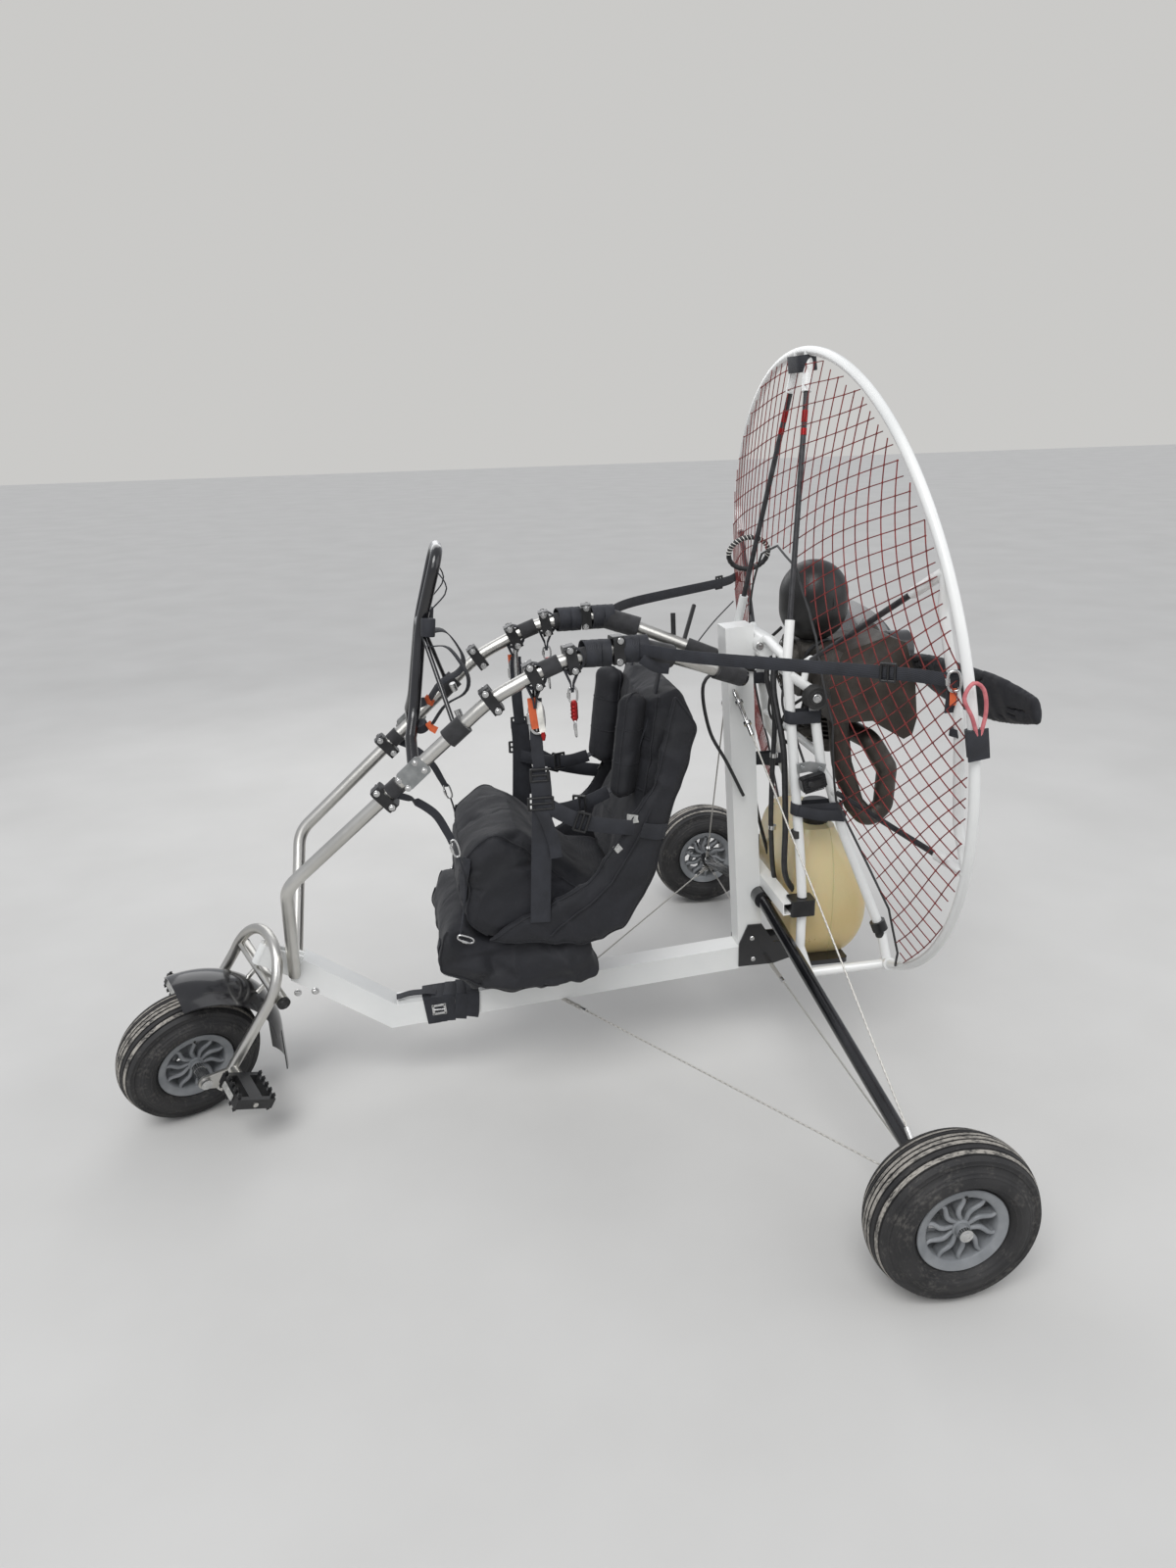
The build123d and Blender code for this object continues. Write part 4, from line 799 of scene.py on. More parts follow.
SOFT = [
    # name, solid, remesh size, drawn in by, rounds, fill; then swell's cap, folds, flanks' half, subdivisions
    (("seat_cushion", "seat_pan", 0.0068, 0.001, 26, 0.6), (0.013, pan_fold, 0.190, 1)),
    (("backrest_cushion", "seat_back", 0.0068, 0.006, 14, 0.5), (0.012, back_fold, 0.187, 1)),
    (("seat_bag_cloth", "seat_bag", 0.0068, 0.002, 20, 0.3), (0.018, bag_fold, None, 1)),
    (("side_panels", "seat_sides", 0.0052, 0.0005, 5, 0.2), (0.005, side_fold, None, 1)),
    (("blade_cover_cloth", "blade_cover", 0.0032, -0.0032, 5, 0.2), (0.002, cover_fold, None, 0)),
]
pan, back, bag, sides, cover = soft = [soft_form(*form) for form, _ in SOFT]
starts = [places(obj.data) for obj in soft]
swell(soft)
for obj, start, (_, finish) in zip(soft, starts, SOFT):
    folded(obj, start, *finish)
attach(cover, "propeller")
for obj, (form, _) in zip(soft, SOFT):
    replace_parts(obj, form[1])

surfaces = {}


def laid(obj, points, lift, step=0.006):
    """A smooth line through the points, laid on a piece's surface at a height over it, and its normals."""
    if obj.name not in surfaces:
        surfaces[obj.name] = tree_of(obj.data)
    line, normals = [], []
    for p in bent(points, step):
        place, normal, _, _ = surfaces[obj.name].find_nearest(p)
        line.append(place + normal * lift)
        normals.append(normal)
    for _ in range(2):
        line = line[:1] + [a.lerp((b + c) / 2, 0.5) for b, a, c in zip(line, line[1:], line[2:])] + line[-1:]
    return line, normals


def piping(bm, obj, points, radius=0.0024):
    """A corded edge along a seam, with a row of stitches beside it."""
    line, normals = laid(obj, points, radius * 0.3)
    tube(bm, line, radius, 8)
    for i in range(1, len(line) - 1):
        beside = heading(line, i).cross(normals[i]).normalized()
        way = (line[i + 1] - line[i]).normalized() * 0.0016
        middle = line[i] + beside * radius * 2.4 + normals[i] * 0.0004
        tube(bm, [middle - way, middle + way], 0.0004, 4)


def flat_strap(bm, obj, points, width, thick=0.0022, lift=0.002):
    """A webbing strap sewn down on a piece's surface."""
    line, normals = laid(obj, points, lift, 0.008)
    ribbon(bm, line, width, thick, [heading(line, i).cross(normals[i]) for i in range(len(line))])


SEAM_Y = 178
SIDE_Y = 202
EDGE_SEAMS = [
    # piece and port, then places ahead and up
    (pan, SEAM_Y, (823, 662), (790, 700), (751, 715), (686, 674), (620, 610), (560, 560)),
    (pan, SEAM_Y, (823, 662), (828, 580), (830, 500), (783, 456)),
    (back, SEAM_Y, (505, 560), (430, 730), (395, 1000)),
    (bag, SEAM_Y, (904, 385), (893, 440), (880, 499)),
    (bag, SEAM_Y, (904, 385), (820, 345), (740, 312), (620, 310)),
    (sides, SIDE_Y, (783, 456), (675, 520), (556, 580), (489, 672), (400, 804), (350, 1000)),
    (sides, SIDE_Y, (350, 1000), (301, 925), (360, 725), (419, 535), (462, 468), (554, 425), (783, 456)),
    (sides, SIDE_Y, (640, 462), (600, 500), (520, 560), (455, 650), (410, 745)),
]
CROSS_SEAMS = [
    # piece, ahead, up
    (pan, 820, 640), (pan, 826, 560), (back, 446, 660), (back, 420, 775), (back, 405, 890),
]
bm = bmesh.new()
for s in SIDES:
    for obj, port, *outline in EDGE_SEAMS:
        piping(bm, obj, [at(a, s * port, u) for a, u in outline])
for obj, a, u in CROSS_SEAMS:
    piping(bm, obj, [at(a, -165, u), at(a, 0, u), at(a, 165, u)], 0.0016)
piece("seat_piping", bm, "black_fabric")


# Shoulder pads: flattened rolls with a corded edge all round
PAD_SECTIONS = 34
PAD_SIDES = 28


def pad_roll(top, low, half_wide, half_thick, across):
    bm = bmesh.new()
    way = (low - top).normalized()
    wide = (across - way * across.dot(way)).normalized()
    out = wide.cross(way).normalized()
    rings = []
    length = (low - top).length
    for i in range(PAD_SECTIONS + 1):
        t = i / PAD_SECTIONS
        end = min(1, min(t, 1 - t) * length / 0.030)
        round_off = sqrt(max(0.0, 1 - (1 - end) ** 2.4))
        loop = []
        for a in angles(PAD_SIDES):
            squareness = (abs(cos(a)) ** 3 + abs(sin(a)) ** 3) ** (-1 / 3)
            place = Vector((t * 7, cos(a) * 1.6, sin(a) * 1.6 + top.y * 9))
            ripple = 1 + 0.045 * noise.noise(place)
            u = cos(a) * half_wide * squareness * (0.25 + 0.75 * round_off) * ripple
            v = sin(a) * half_thick * squareness * max(0.12, round_off) * ripple
            loop.append(bm.verts.new(top + way * (length * t) + wide * u + out * v))
        rings.append(loop)
    skin(bm, rings)
    cord = [loop[0].co.copy() for loop in rings]
    cord += [loop[PAD_SIDES // 2].co.copy() for loop in reversed(rings)]
    tube(bm, cord + cord[:1], 0.0024, 8)
    for share in (0.33, 0.66):
        waist = [v.co.copy() for v in rings[round(PAD_SECTIONS * share)]]
        tube(bm, waist + waist[:1], 0.0014, 6)
    return bm


pads = []
for s, tag in ((1, "left"), (-1, "right")):
    roll = pad_roll(*path(s, (430, 134, 990), (459, 134, 756)), 0.036, 0.026, facing(s, 0.55, 0.8, 0))
    pads.append(piece(f"shoulder_pad_{tag}", roll, "black_fabric"))
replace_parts(pads[0], "shoulder_pads")


# Webbing: risers, belts and tails, with ladder buckles
def buckle(bm, middle, way, out, width, index=1):
    """A three-bar slider: a flat frame with rounded bars across the strap."""
    way, out = way.normalized(), out.normalized()
    side = way.cross(out).normalized() * (width / 2 + 0.003)
    for step in (-0.013, 0.0, 0.013):
        bar(bm, middle + way * step - side, middle + way * step + side, 0.0028, 10, index)
    for s in (-1, 1):
        bar(bm, middle - way * 0.0145 + side * s, middle + way * 0.0145 + side * s, 0.003, 10, index)


HARNESS = [
    # places as ahead, port and up, then width, thickness, across and fold
    ([(652, 206, 1012), (654, 207, 930), (650, 207, 845)], 0.026, 0.003, (1, 0, 0.1), 0),
    ([(650, 209, 850), (648, 211, 780), (655, 209, 640), (662, 207, 500)], 0.044, 0.0032, (1, 0, 0.05), 0.05),
    ([(655, 212, 775), (640, 216, 740), (626, 217, 690), (622, 216, 655)], 0.026, 0.0026, (1, 0, 0.2), 0),
    ([(646, 212, 782), (600, 214, 752), (560, 212, 731), (500, 208, 715), (432, 205, 703)], 0.034, 0.003,
     (0.1, 0, 1), 0.08),
    ([(652, 200, 762), (600, 178, 752), (540, 152, 756), (492, 138, 770)], 0.030, 0.0028, (0.1, 0, 1), 0.1),
    ([(492, 138, 770), (450, 134, 800), (412, 134, 900), (380, 132, 1000), (372, 136, 1055)], 0.028, 0.0028,
     (0, 1, 0), 0),
]
BUCKLES = [
    # place as ahead, port and up, the strap's way, and its width
    ((651, 211, 845), (0, 0, 1), 0.030), ((651, 214, 782), (0, 0, 1), 0.046),
    ((564, 216, 733), (1, 0, 0.35), 0.036), ((560, 160, 755), (1, -0.4, 0), 0.030),
]
bm = bmesh.new()
bands = bmesh.new()
for s in SIDES:
    for row in HARNESS:
        strap(bm, s, *row)
    for place, way, width in BUCKLES:
        buckle(bm, *path(s, place), facing(s, *way), facing(s, 0, 1, 0), width)
    flat_strap(bm, sides, path(s, (430, 203, 703), (400, 203, 694), (372, 203, 690)), 0.036, 0.003)
    flat_strap(bands, sides, path(s, (457, 203, 742), (447, 203, 716)), 0.030, 0.0012, 0.0016)
    flat_strap(bands, sides, path(s, (497, 203, 672), (478, 203, 652)), 0.016, 0.0012, 0.0016)
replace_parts(piece("harness_webbing", bm, "webbing", "webbing", "black_plastic"), "risers")
piece("reflective_bands", bands, "webbing", "lens")


# Bolts of the bars' clamps, and straps, toggles and links that hang from them
CLAMPS = [
    # middle and direction of the left bar, as ahead, port, up
    ((977, 192, 816), (-157, 13, 137)),
    ((744, 211, 1015), (-165, 6, 108)),
    ((655, 211, 1061), (-168, -3, 75)),
    ((576, 208, 1090), (-178, -13, 41)),
    ((477, 198, 1102), (-202, -35, -9)),
]
CLAMP_SIDE = 21
CLAMP_BOLT = 22
bm = bmesh.new()
for s in SIDES:
    for middle, way in CLAMPS:
        over = PORT.cross(facing(s, *way)).normalized()
        outward = facing(s, *way).cross(over).normalized()
        outward *= 1 if outward.y * s > 0 else -1
        for step in (-CLAMP_BOLT, CLAMP_BOLT):
            seat = path(s, middle)[0] + over * step * MM
            for face, tall in ((1, 0.004), (-1, 0.006)):
                bolt(bm, seat + outward * face * CLAMP_SIDE * MM, outward * face, 0.0048, tall)
            ring(bm, seat + outward * (CLAMP_SIDE + 0.3) * MM, outward, 0.0082, 0.0008, 20, 6, 1)
piece("clamp_bolts", bm, "links", "links", "black_plastic")


def karabiner(bm, top, low, face, wide, wire):
    """A closed oval link between two places, with a screw sleeve on one side."""
    way = (low - top).normalized()
    side = way.cross(Vector(face)).normalized()
    half = (low - top).length / 2
    middle = (top + low) / 2
    line = []
    for a in angles(40, True):
        u = copysign(abs(sin(a)) ** 0.7, sin(a)) * wide / 2
        v = copysign(abs(cos(a)) ** 0.8, cos(a)) * half
        line.append(middle + side * u - way * v)
    tube(bm, line, wire, 10, False)
    sleeve = middle + side * wide / 2
    bar(bm, sleeve - way * half * 0.35, sleeve + way * half * 0.35, wire * 1.6, 12)


def round_line(start, stop, count, port, ahead, up, radius):
    """Places on part of a circle that is seen from the side."""
    turns = np.linspace(start, stop, count)
    return [(ahead + radius * cos(a), port, up + radius * sin(a)) for a in turns]


LOOP_TAILS = [
    # places on the loop's tail, from the bar's middle
    [(-16, 213, -20), (-4, 213, -48), (-2, 213, -66)],
    [(15, 213, -20), (3, 214, -48), (1, 214, -66)],
]
LINKS = [
    # top and low end, face, width and wire
    ((654, 213, 1006), (650, 212, 938), PORT, 0.030, 0.0034),
    ((575, 214, 1032), (574, 214, 1000), PORT, 0.018, 0.0024),
    ((572, 214, 962), (570, 214, 926), FORWARD, 0.016, 0.0022),
]
TAGS = [
    # places, width, finish
    ([(662, 217, 1016), (660, 219, 985), (655, 219, 950)], 0.017, 2),
    ([(648, 219, 1006), (645, 221, 975), (641, 221, 940)], 0.013, 3),
]
bm = bmesh.new()
toggles = bmesh.new()
for s in SIDES:
    for ahead, up in ((655, 1061), (576, 1090)):
        ribbon(bm, path(s, *round_line(0.9, 5.4, 18, 212.2, ahead, up, 26)), 0.026, 0.003, PORT)
        for tail in LOOP_TAILS:
            run = [(ahead + a, p, up + u) for a, p, u in tail]
            ribbon(bm, path(s, *run), 0.026, 0.0035, (0.1, 0.9, 0))
    for top, low, *rest in LINKS:
        karabiner(toggles, *path(s, top, low), *rest)
    handle = path(s, (574, 214, 1004), (573, 214, 998), (572, 214, 966), (572, 214, 960))
    tube(toggles, handle, [0.0045, 0.0075, 0.0075, 0.0045], 16, True, 1)
    for up in (992, 984, 976, 968):
        ring(toggles, at(573, s * 214, up), UP, 0.0072, 0.0009, 20, 6, 1)
    for run, width, index in TAGS:
        strap(toggles, s, run, width, 0.002, (1, 0, 0.2), index=index)
    bead = path(s, (641, 221, 942), (640, 221, 934), (640, 221, 924))
    tube(toggles, bead, [0.004, 0.0055, 0.003], 10, True, 1)
piece("bar_loops", bm, "webbing")
piece("toggles", toggles, "links", "links", "red", "orange", "pale")

# Straps at the rear: from each bar's wrap to the cage's side bar, with a buckle, a prop and thin cords
REAR_RUN = [
    (440, 219, 1098), (420, 224, 1102), (330, 344, 1106), (44, 560, 1108), (-24, 640, 1110), (-38, 652, 1111),
]
bm = bmesh.new()
for s in SIDES:
    strap(bm, s, REAR_RUN, 0.025, 0.0022, UP, step=0.02)
    wrap = [(-51 + 14 * cos(a), 638 + 14 * sin(a), 1110) for a in angles(21, True)]
    ribbon(bm, path(s, *wrap), 0.027, 0.002, UP)
    way = at(44, s * 560, 1108) - at(330, s * 344, 1106)
    buckle(bm, at(44, s * 563, 1109), way, facing(s, 0.6, 0.8, 0), 0.026)
    for ahead, port, up in ((441, 192, 1101), (521, 200, 1098)):
        for k in range(3):
            lean = 0.006 * sin(k * 2.1)
            centre = at(ahead + (k - 1) * 17, s * port, up)
            round_bar = [centre + Vector((lean * sin(a), 0.0272 * sin(a), 0.0272 * cos(a)))
                         for a in angles(24, True)]
            ribbon(bm, round_bar, 0.024, 0.0026, (1, -0.15 * s, 0), 0.1)
    strap(bm, s, [(430, 221, 1085), (400, 226, 1066), (372, 222, 1060)], 0.022, 0.002, (0.2, 0, 1), 0.2)
piece("rear_straps", bm, "webbing", "webbing", "black_plastic")

bm = bmesh.new()
bar(bm, at(206, -214, 1112), at(250, -140, 1040), 0.0055, 14)
bar(bm, at(273, -148, 1040), at(272, -160, 1106), 0.0060, 14)
tube(bm, bent(path(-1, (92, 262, 1108), (160, 200, 1070), (228, 130, 1026)), 0.02), 0.0018, 6)
piece("rear_props", bm, "black_plastic")

# Braided ring on the cage's far side, and a pink cord loop in a sleeve on its near side
bm = bmesh.new()
turns = angles(72, True)
oval = [at(60 + 50 * cos(a), -246 + 12 * sin(a), 1228 + 40 * sin(a)) for a in turns]
tube(bm, oval, [0.0062 + 0.0006 * sin(i * 2.2) for i in range(73)], 10, False)
for i in range(0, 40, 2):
    way = (oval[i + 1] - oval[i]).normalized()
    ring(bm, oval[i], way + Vector((0.2, 0, 0.3)), 0.0060, 0.0011, 12, 5, 1)
piece("braided_ring", bm, "rubber", "cable", "pale")
bm = bmesh.new()
loop = path(1, (-58, 716, 1020), (-44, 718, 1058), (-26, 718, 1094), (-40, 718, 1120), (-60, 718, 1108),
            (-68, 718, 1070), (-62, 716, 1020))
tube(bm, bent(loop), 0.0036, 10)
piece("cord_loop", bm, "webbing", "pink")
bm = bmesh.new()
collar(bm, at(-63, 705, 984), at(-56, 701, 1034), 0.0145, 0.004, 0.02, 24)
ribbon(bm, path(1, (-56, 717, 1036), (-59, 719, 1010), (-63, 719, 982)), 0.040, 0.004, FORWARD)
tube(bm, path(1, (-52, 646, 1004), (-53, 646, 1005), (-54, 646, 1019), (-54, 646, 1020)),
     [0.0101, 0.0108, 0.0108, 0.0101], 20)
ribbon(bm, path(1, (-39, 646, 1050), (-38, 650, 1080), (-36, 652, 1118)), 0.020, 0.004, (1, 0, 0.1))
piece("cord_sleeve", bm, "webbing")
bm = bmesh.new()
SPAR_BANDS = [((26, 62, 1560), (28, 64, 1535)), ((28, 66, 1522), (29, 68, 1508))]
spar_tree = tree_of(nodes["cage_spars"].data)
for s in SIDES:
    for ends in SPAR_BANDS:
        found = [spar_tree.find_nearest(place) for place in path(s, *ends)]
        tube(bm, [near - normal * 0.006 for near, normal, _, _ in found], 0.0066, 16)
piece("spar_bands", bm, "carbon", "red")
bm = bmesh.new()
karabiner(bm, at(-34, 658, 1128), at(-38, 660, 1092), (0.3, 1, 0), 0.022, 0.0028)
ribbon(bm, [at(-37, 656, 1096), at(-38, 657, 1066)], 0.012, 0.002, (1, 0, 0.1), index=1)
piece("cage_link", bm, "links", "links", "orange")

# Fastening straps on the cage's top, and bands on the spars
bm = bmesh.new()
top = CAGE_MIDDLE + CAGE_UPWARD * (CAGE_R - 0.024)
flat_loop = []
for a in angles(32, True):
    y = copysign(abs(cos(a)) ** 0.35, cos(a)) * 0.044
    x = 0.007 + copysign(abs(sin(a)) ** 0.7, sin(a)) * 0.021
    flat_loop.append(top + PORT * y + CAGE_NORMAL * x)
ribbon(bm, flat_loop, 0.034, 0.0022, CAGE_UPWARD)
FRAME_TUBES = [
    # up, front tube's ahead and port, rear tube's ahead and port
    (928, (92, 190), (37, 188)),
    (712, (70, 190), (-22, 192)),
]
TAPES = [
    # ends as ahead, port and up, and radius
    ((70, 190, 643), (70.5, 190, 661), 0.0116), ((50, 192, 478), (50, 192, 494), 0.0116),
    ((-130, 228, 404), (-133, 229, 392), 0.0118),
]
tapes = bmesh.new()
for s in SIDES:
    for up, front, rear in FRAME_TUBES:
        run = []
        for a in angles(40, True):
            ahead, port = front if cos(a) > 0 else rear
            run.append((ahead + 13.4 * cos(a), port + 13.4 * sin(a), up + 3 * cos(a)))
        ribbon(bm, path(s, *run), 0.028, 0.0024, UP, 0.12)
    strap(bm, s, [(70, 205, 712), (24, 209, 700), (-22, 207, 694), (-40, 205, 690)], 0.026, 0.003, UP, 0.1)
    for low, high, r in TAPES:
        collar(tapes, *path(s, low, high), r, 0.0006, 0.08)
piece("fastening_straps", bm, "webbing")
piece("tape_bands", tapes, "rubber")

# Details of the motor's frame: rubber mounts' rings, switch box on its bracket
bm = bmesh.new()
for s in SIDES:
    face = at(46, s * 225, 975)
    ring(bm, face, PORT * s, 0.0235, 0.0022, 32, 8)
    ring(bm, face, PORT * s, 0.0150, 0.0014, 32, 8)
    bolt(bm, face, PORT * s, 0.0065, 0.006, 1)
piece("mount_rings", bm, "rubber", "rubber", "links")
bm = bmesh.new()
SWITCH_AXES = (Vector((1, 0, -0.25)), Vector((0.25, 0, 1)), PORT)
block(bm, at(44, 214, 782), SWITCH_AXES, (0.056, 0.034, 0.026), 0, 0.003)
block(bm, at(44, 229, 783), SWITCH_AXES, (0.030, 0.020, 0.006), 0, 0.002)
for up in (770, 776, 782, 788, 794):
    bar(bm, at(22, 228, up), at(66, 228, up - 10), 0.0012, 8)
bar(bm, at(56, 228, 784), at(56, 236, 784), 0.006, 18, 1)
ribbon(bm, path(1, (78, 203, 812), (50, 206, 816), (14, 204, 806)), 0.024, 0.003, (0.1, 0, 1), index=2)
for place in path(1, (66, 208, 814), (24, 207, 808)):
    bolt(bm, place, PORT, 0.005, 0.004, 2)
piece("switch_box", bm, "black_plastic", "black_plastic", "cable", "grey_metal")

# Hoses and cables fixed at both ends
HOSES = [
    # radius, then places as ahead, port, up
    (0.0060, (98, 46, 1030), (104, 56, 985), (84, 58, 895), (86, 60, 753), (84, 60, 600), (66, 56, 470),
     (10, 40, 430)),
    (0.0070, (96, 80, 1020), (100, 96, 960), (92, 140, 860), (89, 152, 800), (82, 152, 660), (78, 148, 540),
     (40, 120, 470)),
    (0.0045, (92, -60, 1010), (98, -80, 940), (88, -90, 800), (80, -80, 640), (50, -60, 500)),
    (0.0040, (130, 34, 1000), (200, 52, 1012), (254, 60, 981), (240, 62, 874), (196, 60, 790),
     (150, 44, 700)),
    (0.0030, (58, 30, 1030), (74, 10, 960), (70, -20, 880), (30, -30, 830)),
    (0.0028, (64, 70, 1010), (80, 100, 930), (62, 150, 860), (50, 190, 800)),
    (0.0032, (20, 60, 664), (40, 76, 720), (44, 70, 800), (20, 40, 870), (0, 30, 930)),
]
bm = bmesh.new()
for radius, *route in HOSES:
    tube(bm, bent(path(1, *route), 0.012), radius, 10)
for a, p, u in ((98, 52, 985), (86, 59, 800), (85, 60, 620)):
    tube(bm, [at(a - 3, p, u - 5), at(a - 3, p, u + 5)], 0.0095, 16, True, 1)
piece("hoses", bm, "rubber", "cable", "links")

# Turnbuckles, shackles and thimbles on the main stays
STAY_RUNS = [
    ((172, 32, 952), (8, 791, 182)), ((596, 24, 196), (8, 791, 150)), ((64, 34, 236), (0, 788, 157)),
]
bm = bmesh.new()
for s in SIDES:
    for index, ends in enumerate(STAY_RUNS):
        a, b = path(s, *ends)
        way = (b - a).normalized()
        side = way.orthogonal().normalized()
        other = way.cross(side)
        if index == 0:
            for offset in (side * 0.0062, side * -0.0062):
                bar(bm, a + way * 0.030 + offset, a + way * 0.086 + offset, 0.0026, 10)
            for place in (0.030, 0.086):
                bar(bm, a + way * (place - 0.004), a + way * (place + 0.004), 0.0092, 16)
            karabiner(bm, a - way * 0.004, a + way * 0.028, other, 0.016, 0.0026)
            bar(bm, a + way * 0.090, a + way * 0.118, 0.0052, 14)
        else:
            bar(bm, a + way * 0.062, a + way * 0.080, 0.0052, 14)
        bar(bm, b - way * 0.090, b - way * 0.066, 0.0056, 14)
        karabiner(bm, b - way * 0.024, b + way * 0.008, other, 0.018, 0.0024)
piece("stay_fittings", bm, "links")

# Bolts of the column, the foot plates and the steering head
FRAME_BOLTS = [
    # place as ahead, port and up, and radius
    ((117, 33, 316), 0.0065), ((113, 33, 258), 0.0065), ((-40, 33, 268), 0.0065), ((-60, 33, 312), 0.0065),
    ((126, 67, 1062), 0.006), ((1226, 31, 290), 0.006), ((1186, 31, 290), 0.006),
]
bm = bmesh.new()
for s in SIDES:
    for place, radius in FRAME_BOLTS:
        bolt(bm, *path(s, place), PORT * s, radius, 0.005)
piece("column_bolts", bm, "links")

# Wrap and buckle on the keel
bm = bmesh.new()
for k, ahead in enumerate((918, 896, 872, 846, 822)):
    loop = []
    for a in angles(32, True):
        u, v = (max(-1.0, min(1.0, 1.5 * turn)) * 0.0335 for turn in (cos(a), sin(a)))
        loop.append(at(ahead, 0, 207 + (900 - ahead) * 0.075) + Vector((0.006 * sin(a + k), u, v)))
    ribbon(bm, loop, 0.030, 0.0028, (1, 0, 0.05 * k), 0.15)
strap(bm, 1, [(905, 12, 243), (930, 10, 247), (962, 8, 246), (990, 6, 240), (1000, 6, 238)], 0.024, 0.003,
      (0.1, 1, 0), 0.2)
piece("keel_wrap", bm, "webbing")
bm = bmesh.new()
square = at(900, 33.5, 209)
square_axes = (Vector((1, 0, -0.07)), Vector((0.07, 0, 1)), PORT)
for x, z, wx, wz in (
    (0, 0.011, 0.034, 0.006), (0, -0.011, 0.034, 0.006), (0.014, 0, 0.006, 0.028), (-0.014, 0, 0.006, 0.028),
):
    block(bm, square + Vector((x, 0.002, z)), square_axes, (wx, wz, 0.004))
bar(bm, square + Vector((-0.014, 0.003, 0)), square + Vector((0.014, 0.003, 0)), 0.0022, 10)
piece("keel_buckle", bm, "links")

# Straps from the bars down to the seat's front, with steel clips and hooks
bm = bmesh.new()
metal = bmesh.new()
for s in SIDES:
    run = [(958, 205, 826), (918, 198, 806), (876, 186, 768), (853, 185, 724), (843, 189, 700)]
    strap(bm, s, run, 0.018, 0.003, facing(s, 0.7, 0.2, 0.5), 0.15)
    karabiner(metal, *path(s, (843, 190, 706), (833, 193, 668)), PORT, 0.015, 0.0024)
    cord = path(s, (833, 193, 670), (826, 192, 640), (822, 186, 600), (832, 188, 520), (842, 184, 470))
    tube(bm, bent(cord), 0.0022, 8)
    karabiner(metal, *path(s, (846, 192, 476), (812, 194, 462)), PORT, 0.014, 0.0022)
    flat_strap(bm, bag, path(s, (902, 100, 309), (904, 128, 380), (892, 150, 450)), 0.024, 0.0026, 0.0022)
    flat_strap(bm, pan, path(s, (862, 178, 560), (838, 188, 620), (824, 186, 662)), 0.024, 0.0026, 0.0022)
piece("front_straps", bm, "webbing")
piece("front_clips", metal, "links")

# Strap loop, collars, cord and barrel on the front hoop
bm = bmesh.new()
metal = bmesh.new()
for s in SIDES:
    run = [(862, 82, 1108), (822, 96, 1106), (790, 104, 1060), (783, 106, 1030), (795, 106, 1006), (836, 108, 984),
           (866, 112, 946)]
    strap(bm, s, run, 0.025, 0.0024, facing(s, 0.3, 0.9, 0.2), 0.1)
    collar(bm, *path(s, (862, 75, 1128), (858, 72, 1166)), 0.0155, 0.001)
    collar(bm, *path(s, (887, 96, 930), (893, 102, 948)), 0.0150, 0.001)
    cord = path(s, (858, 66, 1176), (820, 80, 1216), (818, 84, 1240), (832, 80, 1262))
    tube(bm, bent(cord, 0.01), 0.0016, 6)
    tag = path(s, (876, 112, 950), (868, 116, 938), (858, 118, 932))
    ribbon(metal, tag, 0.016, 0.004, (0.2, 0, 1), index=1)
    bar(metal, *path(s, (812, 122, 976), (806, 126, 958)), 0.008, 16)
    for place in path(s, (927, 215, 839), (945, 215, 857), (891, 215, 875), (909, 215, 893)):
        bolt(metal, place, PORT * s, 0.0045, 0.0035)
piece("hoop_straps", bm, "webbing")
piece("hoop_fittings", metal, "links", "links", "orange")


# Fork: capped tube ends, axle nuts, pedals' studs and lenses
def middle_of(name):
    """The middle of a node's box."""
    low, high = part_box(name)
    return (Vector(low) + Vector(high)) / 2


steer = Vector(joints["steering"]["axis"]).normalized()
hub, fork_port, _, _ = wheel_axes("front")
fork_ahead = fork_port.cross(steer).normalized()
FORK_AXES = (fork_ahead, fork_port, steer)
for name in ("left", "right"):
    middle = middle_of(f"pedal_{name}")
    studs = bmesh.new()
    glass = bmesh.new()
    for row in (-1, 1):
        for k in range(5):
            spot = middle + fork_ahead * row * 0.042 + fork_port * (k - 2) * 0.020
            for up in SIDES:
                tooth = spot + steer * up * 0.0165
                block(studs, tooth, FORK_AXES, (0.007, 0.008, 0.009), 0, 0.001)
                tube(studs, [tooth, tooth + steer * up * 0.0075], [0.0042, 0.0016], 6)
            spot += steer * 0.0126
            bar(studs, spot - fork_port * 0.006, spot + fork_port * 0.006, 0.0012, 6)
        block(glass, middle + fork_ahead * row * 0.0485, FORK_AXES, (0.004, 0.052, 0.016))
        for k in range(7):
            spot = middle + fork_ahead * row * 0.0508 + fork_port * (k - 3) * 0.0068
            bar(glass, spot - steer * 0.006, spot + steer * 0.006, 0.0008, 6)
    bar(studs, middle - fork_port * 0.046, middle + fork_port * 0.046, 0.0085, 16)
    piece(f"pedal_studs_{name}", studs, "black_plastic", body=f"{name}_pedal")
    piece(f"pedal_lens_{name}", glass, "black_plastic", "lens", body=f"{name}_pedal")
plugs = bmesh.new()
nuts = bmesh.new()
crown_middle = at(1279, 0, 428) - steer * 0.100 - fork_ahead * 0.0265
for way in (fork_port, -fork_port):
    end = crown_middle + way * 0.122
    bar(plugs, end - way * 0.004, end + way * 0.004, 0.0155, 28)
    ring(plugs, end + way * 0.004, fork_port, 0.010, 0.0012, 24, 6)
    end = hub + way * 0.068
    bolt(nuts, end, way, 0.009, 0.007)
    bar(nuts, end, end + way * 0.014, 0.0045, 14)
piece("crown_plugs", plugs, "black_plastic", body="fork")
piece("fork_nuts", nuts, "links", body="fork")

